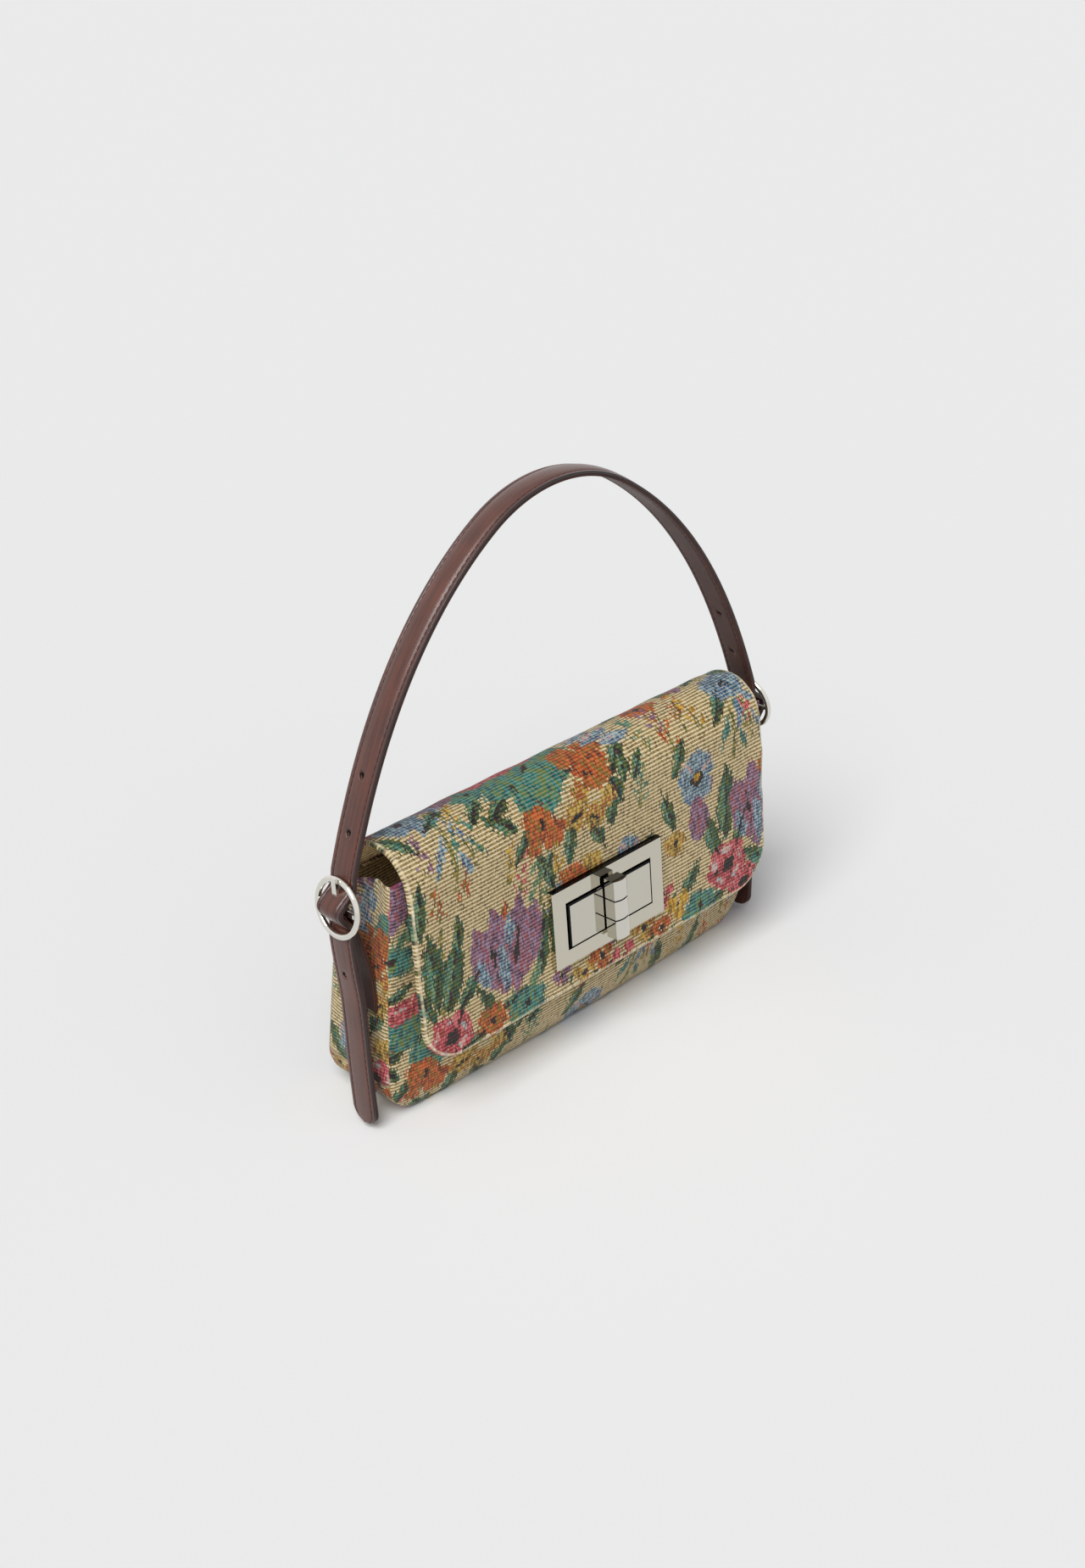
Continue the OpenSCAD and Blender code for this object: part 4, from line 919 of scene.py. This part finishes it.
def turned(p):
    """From a buckle's own plane, X out of the ring and Z up it, to the strap's plane."""
    c, s = math.cos(RING_TILT), math.sin(RING_TILT)
    return np.array([BAR_X + p[0] * c - p[1] * s, BAR_Z + p[0] * s + p[1] * c])


LOOP_R = BAR_R + 0.15 + CHAPE_T
RING_MID = RING_R - RING_WIRE / 2
BEHIND = -(RING_WIRE / 2 + 0.3 + LEATHER_T)
OVER = LOOP_R + 0.6 + LEATHER_T
WEAVE_REACH = math.sqrt(RING_MID ** 2 - (STRAP_W / 2) ** 2) - 0.6
BUCKLE_REACH = RING_R + 1


def through(q):
    """Point of the strap's middle layer at a height q from the bar: over the bar, behind the ring above and below."""
    bump = 0 if abs(q) >= WEAVE_REACH else (1 + math.cos(math.pi * q / WEAVE_REACH)) / 2
    return turned((BEHIND + (OVER - BEHIND) * bump, q))


def half_route():
    """The strap's middle layer from the top of the arch to the right end.

    Returns its points, the length at each of them, the lengths to the ring, to the tail and to the end, and a twelfth
    of the arch's side.
    """
    foot = through(BUCKLE_REACH)
    u = (np.arange(SIDE_STEPS) + 0.5) / SIDE_STEPS
    angle = CROWN_ANGLE + (math.pi / 2 - FOOT_ANGLE - CROWN_ANGLE) * (u + SIDE_BEND * u * (1 - u))
    steps = np.stack([np.cos(angle), -np.sin(angle)], -1) / SIDE_STEPS
    total = steps.sum(0)
    length = (foot[0] - CROWN_R * math.sin(CROWN_ANGLE)) / total[0]
    top = foot[1] + CROWN_R * (1 - math.cos(CROWN_ANGLE)) - length * total[1]
    a = np.linspace(0, CROWN_ANGLE, 60)
    crown = np.stack([CROWN_R * np.sin(a), top - CROWN_R * (1 - np.cos(a))], -1)
    side = crown[-1] + length * np.cumsum(steps, 0)
    bends = np.array([through(BUCKLE_REACH * (1 - 2 * t)) for t in np.linspace(0, 1, 120)[1:]])
    tail = bends[-1] + (np.array(TAIL_FOOT) - bends[-1]) * np.linspace(0, 1, 200)[1:, None]
    tail[:, 0] -= TAIL_BOW * np.exp(-((tail[:, 1] - 78) / 34) ** 2) * smooth((bends[-1][1] - tail[:, 1]) / 40)
    route = np.concatenate([crown, side, bends, tail])
    run = lengths(route)
    at_foot = len(crown) + len(side) - 1
    return route, run, run[at_foot], run[at_foot + len(bends)], run[-1], length / 12


ROUTE, RUN, FOOT_S, TAIL_S, END_S, FADE = half_route()
HOLES = [FOOT_S - HOLE_START, FOOT_S - HOLE_START - HOLE_PITCH, TAIL_S + HOLE_START]


def strap_frame(s):
    """Centre and outward normal of the strap at signed lengths from its top."""
    side, d = np.where(s < 0, -1.0, 1.0), np.abs(s)

    def route_at(at, sign=1):
        return np.stack([np.interp(at, RUN, ROUTE[:, 0]) * sign, np.interp(at, RUN, ROUTE[:, 1])], -1)

    h = 1.5
    at = route_at(d)
    t = unit(route_at(np.clip(d + h, 0, END_S)) - route_at(np.clip(np.abs(d - h), 0, END_S), np.where(d < h, -1, 1)))
    centre = np.stack([side * at[:, 0], np.zeros(len(s)), at[:, 1]], -1)
    return centre, np.stack([side * -t[:, 1], np.zeros(len(s)), t[:, 0]], -1)


def lean(points):
    """Leans points back about the buckle bars, as the strap stands."""
    p = np.array(points, float)
    c, s = math.cos(-STRAP_LEAN), math.sin(-STRAP_LEAN)
    y, z = points[..., 1], points[..., 2] - BAR_Z
    p[..., 1] = y * c - z * s
    p[..., 2] = BAR_Z + y * s + z * c
    return p


def swell(d):
    """How far the pad fills the strap: whole over the arch, fading out above the ring."""
    return 1 - smooth((d - FOOT_S + 6 * FADE) / (5 * FADE))


def strap_stations():
    """Signed lengths of the strap's rows, finer at the holes, the buckles and the ends."""
    stops = sorted([0.0, FOOT_S - 4, TAIL_S + 4, END_S - TAIL_ROUND, END_S]
                   + [h + k * HOLE_R for h in HOLES for k in (-2.2, -1, -0.33, 0.33, 1, 2.2)])
    rows = []
    for a, b in zip(stops, stops[1:]):
        fine = 0.8 if (a >= FOOT_S - 4.1 and b <= TAIL_S + 4.1) or a >= END_S - TAIL_ROUND - 0.1 else 1.7
        rows.append(np.linspace(a, b, max(1, round((b - a) / fine)) + 1)[:-1])
    d = np.unique(np.round(np.concatenate(rows + [[END_S]]), 5))
    return np.concatenate([-d[:0:-1], d])


COLUMNS = np.array([-1, -0.965, -0.92, -0.86, -0.81, -0.775, -0.745, -0.715, -0.68, -0.62, -0.52, -0.4, -0.29,
                    -HOLE_R / STRAP_W * 2, -HOLE_R / STRAP_W * 0.66])
COLUMNS = np.concatenate([COLUMNS, -COLUMNS[::-1]])
ACROSS = COLUMNS * STRAP_W / 2


def strap_width(s):
    """Half width: full, and round at the tips."""
    k = np.clip((np.abs(s) - (END_S - TAIL_ROUND)) / TAIL_ROUND, 0, 0.999)
    return STRAP_W / 2 * np.sqrt(1 - k * k) ** 0.9


def strap_surface(s, face):
    """Grid of one face of the strap: the padded outer one, the middle one of a layer, or the underside."""
    centre, out = strap_frame(s)
    w = np.abs(ACROSS)[None]
    channel_shade = np.exp(-((w - SEAM_W) / CHANNEL_W) ** 2)
    bevel = smooth(w - BEVEL_FROM)
    if face == "outer":
        padded = swell(np.abs(s))[:, None]
        crown = np.clip(1 - (w / DOME_HALF_W) ** 2, 0, 1) ** 0.75
        rise = LEATHER_T + PAD_H * padded * crown + BARE_DOME * (1 - padded) * crown
        rise = rise - CHANNEL_D * channel_shade - BEVEL_D * bevel
    else:
        rise = {"middle": 0 * w + LAYER_GAP, "middle_low": 0 * w - LAYER_GAP,
                "under": -LEATHER_T + 0.22 * channel_shade + 0.25 * bevel}[face]
    points = centre[:, None, :] + out[:, None, :] * rise[..., None]
    points[..., 1] = COLUMNS * strap_width(s)[:, None]
    return points


def hole_mask(s):
    """Faces of the strap's grid to keep: all but the punched holes."""
    mid_s, mid_w = np.abs(s[:-1] + s[1:]) / 2, np.abs(ACROSS[:-1] + ACROSS[1:]) / 2
    at_hole = sum(np.abs(mid_s - h) < HOLE_R for h in HOLES) > 0
    return ~(at_hole[:, None] & (mid_w < HOLE_R))


def round_holes(points, s):
    """Moves the corners of each punched hole onto a circle."""
    cols = np.where(np.abs(ACROSS) <= HOLE_R * 1.001)[0]
    for middle in [sign * h for h in HOLES for sign in (-1, 1)]:
        for i in np.where(np.abs(s - middle) <= HOLE_R * 1.001)[0]:
            for j in cols:
                ds, dw = s[i] - middle, ACROSS[j]
                if max(abs(ds), abs(dw)) < HOLE_R * 0.99:
                    continue
                k = HOLE_R / math.hypot(ds, dw)
                points[i, j, 1] *= k
                slope = (points[i + 1, j] - points[i - 1, j]) / (s[i + 1] - s[i - 1])
                points[i, j, [0, 2]] += slope[[0, 2]] * (ds * k - ds)
    return points


stations = strap_stations()
keep = hole_mask(stations)


def strap_piece(name, outer_face, inner_face, flip, nodes, materials):
    grids = [lean(round_holes(strap_surface(stations, face), stations)) for face in (outer_face, inner_face)]
    order = slice(None, None, -1 if flip else 1)
    grid_s, grid_w = np.meshgrid(stations, np.abs(ACROSS), indexing="ij")
    points, faces, sides, data = thick_sheet(*(grid[:, order] for grid in grids), keep[:, order], 4,
                                             {"strap_w": grid_w, "strap_s": grid_s})
    obj = make_mesh(name, points, faces, (sides == 1).astype(int), data)
    dress(obj, *materials)
    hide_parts(*nodes)
    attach(obj, "strap")


strap_piece("strap_top_leather", "outer", "middle", False, ["strap_outer", "strap_padding"],
            (LEATHER, LEATHER_EDGE))
strap_piece("strap_under_leather", "under", "middle_low", True, ["strap_lining"],
            (LEATHER_BACK, LEATHER_EDGE))


def stitch_lines(paths, out_dirs, sink):
    """Stitches along lines: each a short round-ended grain, half sunk in the leather."""
    verts, faces = [], []
    rings = [(-0.86, 0.62), (-0.45, 1.0), (0.0, 1.08), (0.45, 1.0), (0.86, 0.62)]
    sides = 6
    for path, outs in zip(paths, out_dirs):
        run = lengths(path)
        for start in np.arange(STITCH_GAP, run[-1] - STITCH_L - STITCH_GAP, STITCH_L + STITCH_GAP):
            a, b, mid = (np.array([np.interp(start + d, run, path[:, k]) for k in range(3)])
                         for d in (0, STITCH_L, STITCH_L / 2))
            up = unit(np.array([np.interp(start + STITCH_L / 2, run, outs[:, k]) for k in range(3)]))
            t = unit(b - a)
            side = np.cross(t, up)
            up = np.cross(side, t)
            mid -= up * sink
            base = len(verts)
            verts.append(mid - t * STITCH_L / 2)
            for f, r in rings:
                for angle in [2 * math.pi * k / sides for k in range(sides)]:
                    verts.append(mid + t * f * STITCH_L / 2
                                 + STITCH_R * r * (math.cos(angle) * side + math.sin(angle) * up))
            verts.append(mid + t * STITCH_L / 2)
            tip = len(verts) - 1
            around = [(k, (k + 1) % sides) for k in range(sides)]
            faces += [[base, base + 1 + b, base + 1 + a] for a, b in around]
            for low in range(base + 1, tip - sides, sides):
                faces += [[low + a, low + b, low + sides + b, low + sides + a] for a, b in around]
            faces += [[tip - sides + a, tip - sides + b, tip] for a, b in around]
    return np.array(verts), faces


def strap_lines(offset):
    """Lines along both edges of the strap at a height over its middle layer, which end near the tips."""
    s = np.linspace(-END_S + 3, END_S - 3, 900)
    centre, out = strap_frame(s)
    lines = []
    for side in (-1, 1):
        points = centre + out * offset
        points[:, 1] = side * np.minimum(SEAM_W, strap_width(s) - 2.1)
        lines.append(lean(points))
    return lines, [out * np.sign(offset)] * 2


for offset, name, sink in ((LEATHER_T - 0.3, "strap_stitches_top", 0.0),
                           (-LEATHER_T + 0.18, "strap_stitches_under", 0.05)):
    stitches = make_mesh(name, *stitch_lines(*strap_lines(offset), sink))
    dress(stitches, STITCH)
    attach(stitches, "strap")


# ---------- chapes ----------

def normals(path):
    """Unit directions square to a line of points in a plane."""
    direction = unit(np.gradient(path, axis=0))
    return np.stack([direction[:, 1], -direction[:, 0]], -1)


def chape(side):
    """Leather folded round the bar and sewn to the side of the bag, both layers in one band."""
    t = CHAPE_T
    seat = BODY_W / 2 + 0.2 + t
    clear = turned((BEHIND - LEATHER_T - 0.3 - 2 * t, -WEAVE_REACH))
    bar = np.array([BAR_X, BAR_Z])
    spine = np.array([(seat, CHAPE_FOOT), (seat, CHAPE_KNEE), (seat + t, CHAPE_KNEE + 6 * t), clear, bar])
    dense = np.array([a + (b - a) * k / 16 for a, b in zip(spine, spine[1:]) for k in range(16)] + [bar])
    for _ in range(40):
        dense[1:-1] = (dense[:-2] + 2 * dense[1:-1] + dense[2:]) / 4
    free = np.linalg.norm(dense - bar, axis=1) > LOOP_R + 0.6
    body, across = dense[free], normals(dense)[free]
    near = np.clip(np.linalg.norm(body - bar, axis=1) / 9 - 0.3, 0, 1)[:, None]
    spread_at = t / 2 + 0.05 + (LOOP_R - t / 2 - t / 2 - 0.05) * (1 - smooth(near)) * 0.8
    outer_line, inner_line = body + across * spread_at, body - across * spread_at
    start, end = (math.atan2(*(end_of[-1] - bar)[::-1]) for end_of in (outer_line, inner_line))
    end += 2 * math.pi * (end < start)
    arc = np.linspace(start, end, 26)[1:-1]
    loop = bar + (LOOP_R - t / 2) * np.stack([np.cos(arc), np.sin(arc)], -1)
    path = np.concatenate([outer_line, loop, inner_line[::-1]])
    for _ in range(2):
        path[1:-1] = (path[:-2] + 2 * path[1:-1] + path[2:]) / 4
    out = normals(path)
    shares = np.array([-1, -0.97, -0.9, -0.8, -0.72, -0.64, -0.45, -TONGUE_SLOT / CHAPE_W])
    shares = np.concatenate([shares, [0], -shares[::-1]])

    def grid(lift):
        flat = (path + out * lift)[:, None]
        rows = np.stack([side * flat[..., 0], 0 * flat[..., 0], flat[..., 1]], -1) + np.zeros((1, len(shares), 1))
        rows[..., 1] = shares * (CHAPE_W / 2 - t / 2) * side
        return rows

    away = np.linalg.norm((path[:-1] + path[1:]) / 2 - bar, axis=1) >= 2 * LOOP_R
    solid = away[:, None] | (np.abs(shares[:-1] + shares[1:]) / 2 >= TONGUE_SLOT / CHAPE_W)
    points, faces, sides, _ = thick_sheet(lean(grid(t / 2)), lean(grid(-t / 2)), solid, 4)
    name = "chape_leather_" + ("right" if side > 0 else "left")
    obj = make_mesh(name, points, faces, (sides == 1).astype(int))
    dress(obj, LEATHER_BACK, LEATHER_EDGE)
    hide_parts("chape_right" if side > 0 else "chape_left")
    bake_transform(obj)


chape(-1)
chape(1)


# ---------- carried-over parts ----------

for node, material in (("lock_frame", FRAME_NICKEL), ("lock_base", BASE_NICKEL), ("turn_knob", KNOB_NICKEL)):
    dress(NODES[node], material)
for node in ("buckle_left", "buckle_right", "tongue_left", "tongue_right"):
    dress(NODES[node], NICKEL)
for node in ("frame_backplate", "frame_screws", "base_backplate", "base_rivets", "knob_clip", "detent_spring"):
    dress(NODES[node], STEEL)
dress(NODES["base_board"], BOARD)


# ---------- stage ----------

FLOOR_TONE, FLOOR_HALF, BACKDROP = 0.83, 9.0, (0.93, 0.93, 0.93)
KEY_FROM, KEY_POWER, KEY_SPREAD = (-0.54, -0.26, 0.8), 2.55, 36
FILL_FROM, FILL_SLOPE, FILL_LEVEL = (-0.55, -0.5, 0.67), 0.48, 0.12
CAMERA_TURN, CAMERA_AT = (-44.868, 29.936), (-0.6987, -0.6893, 0.7057)
FOCAL_PIXELS, PHOTO_HEIGHT = 2559.2, 1849


def add(name, data):
    obj = bpy.data.objects.new(name, data)
    bpy.context.scene.collection.objects.link(obj)
    return obj


def stage():
    mesh = bpy.data.meshes.new("floor")
    mesh.from_pydata([(x * FLOOR_HALF, y * FLOOR_HALF, 0) for x, y in ((-1, -1), (1, -1), (1, 1), (-1, 1))], [],
                     [(0, 1, 2, 3)])
    floor = add("floor", mesh)
    paper = (FLOOR_TONE, FLOOR_TONE + 0.003, FLOOR_TONE + 0.004)
    dress(floor, Graph("floor_paper").finish(Base_Color=paper, Roughness=0.9, Specular_IOR_Level=0.0))

    world = bpy.data.worlds.new("studio")
    bpy.context.scene.world = world
    world.use_nodes = True
    g = Graph(tree=world.node_tree)
    background = g.tree.nodes["Background"]
    direction = g.node("ShaderNodeTexCoord").outputs["Generated"]
    slope = g.node("ShaderNodeVectorMath", {0: direction, 1: FILL_FROM}, operation="DOT_PRODUCT").outputs["Value"]
    g.feed(background.inputs["Color"], (1, 1, 1))
    g.feed(background.inputs["Strength"], g.mad(slope, FILL_SLOPE, FILL_LEVEL, clamp=True))
    seen = g.node("ShaderNodeBackground", {"Color": BACKDROP})
    rays = g.node("ShaderNodeLightPath").outputs
    share = g.max(g.max(rays["Is Camera Ray"], rays["Is Glossy Ray"]), rays["Is Transmission Ray"])
    mix = g.node("ShaderNodeMixShader", {0: share, 1: background.outputs[0], 2: seen.outputs[0]})
    g.feed(g.tree.nodes["World Output"].inputs["Surface"], mix.outputs[0])

    sun = bpy.data.lights.new("key", "SUN")
    sun.energy = KEY_POWER
    sun.angle = math.radians(KEY_SPREAD)
    lamp = add("key", sun)
    lamp.rotation_mode = "QUATERNION"
    lamp.rotation_quaternion = (-Vector(KEY_FROM)).to_track_quat("-Z", "Y")


def camera():
    az, el = map(math.radians, CAMERA_TURN)
    back = Vector((math.sin(az) * math.cos(el), -math.cos(az) * math.cos(el), math.sin(el)))
    right = Vector((math.cos(az), math.sin(az), 0))
    data = bpy.data.cameras.new("camera")
    data.sensor_fit = "AUTO"
    data.sensor_width = 36.0
    data.lens = FOCAL_PIXELS / PHOTO_HEIGHT * 36
    data.clip_start, data.clip_end = 0.05, 50
    cam = add("camera", data)
    turn = Matrix((right, back.cross(right), back)).transposed().to_4x4()
    cam.matrix_world = Matrix.Translation(Vector(CAMERA_AT)) @ turn
    bpy.context.scene.camera = cam


stage()
camera()
bpy.context.scene.view_settings.view_transform = "Standard"
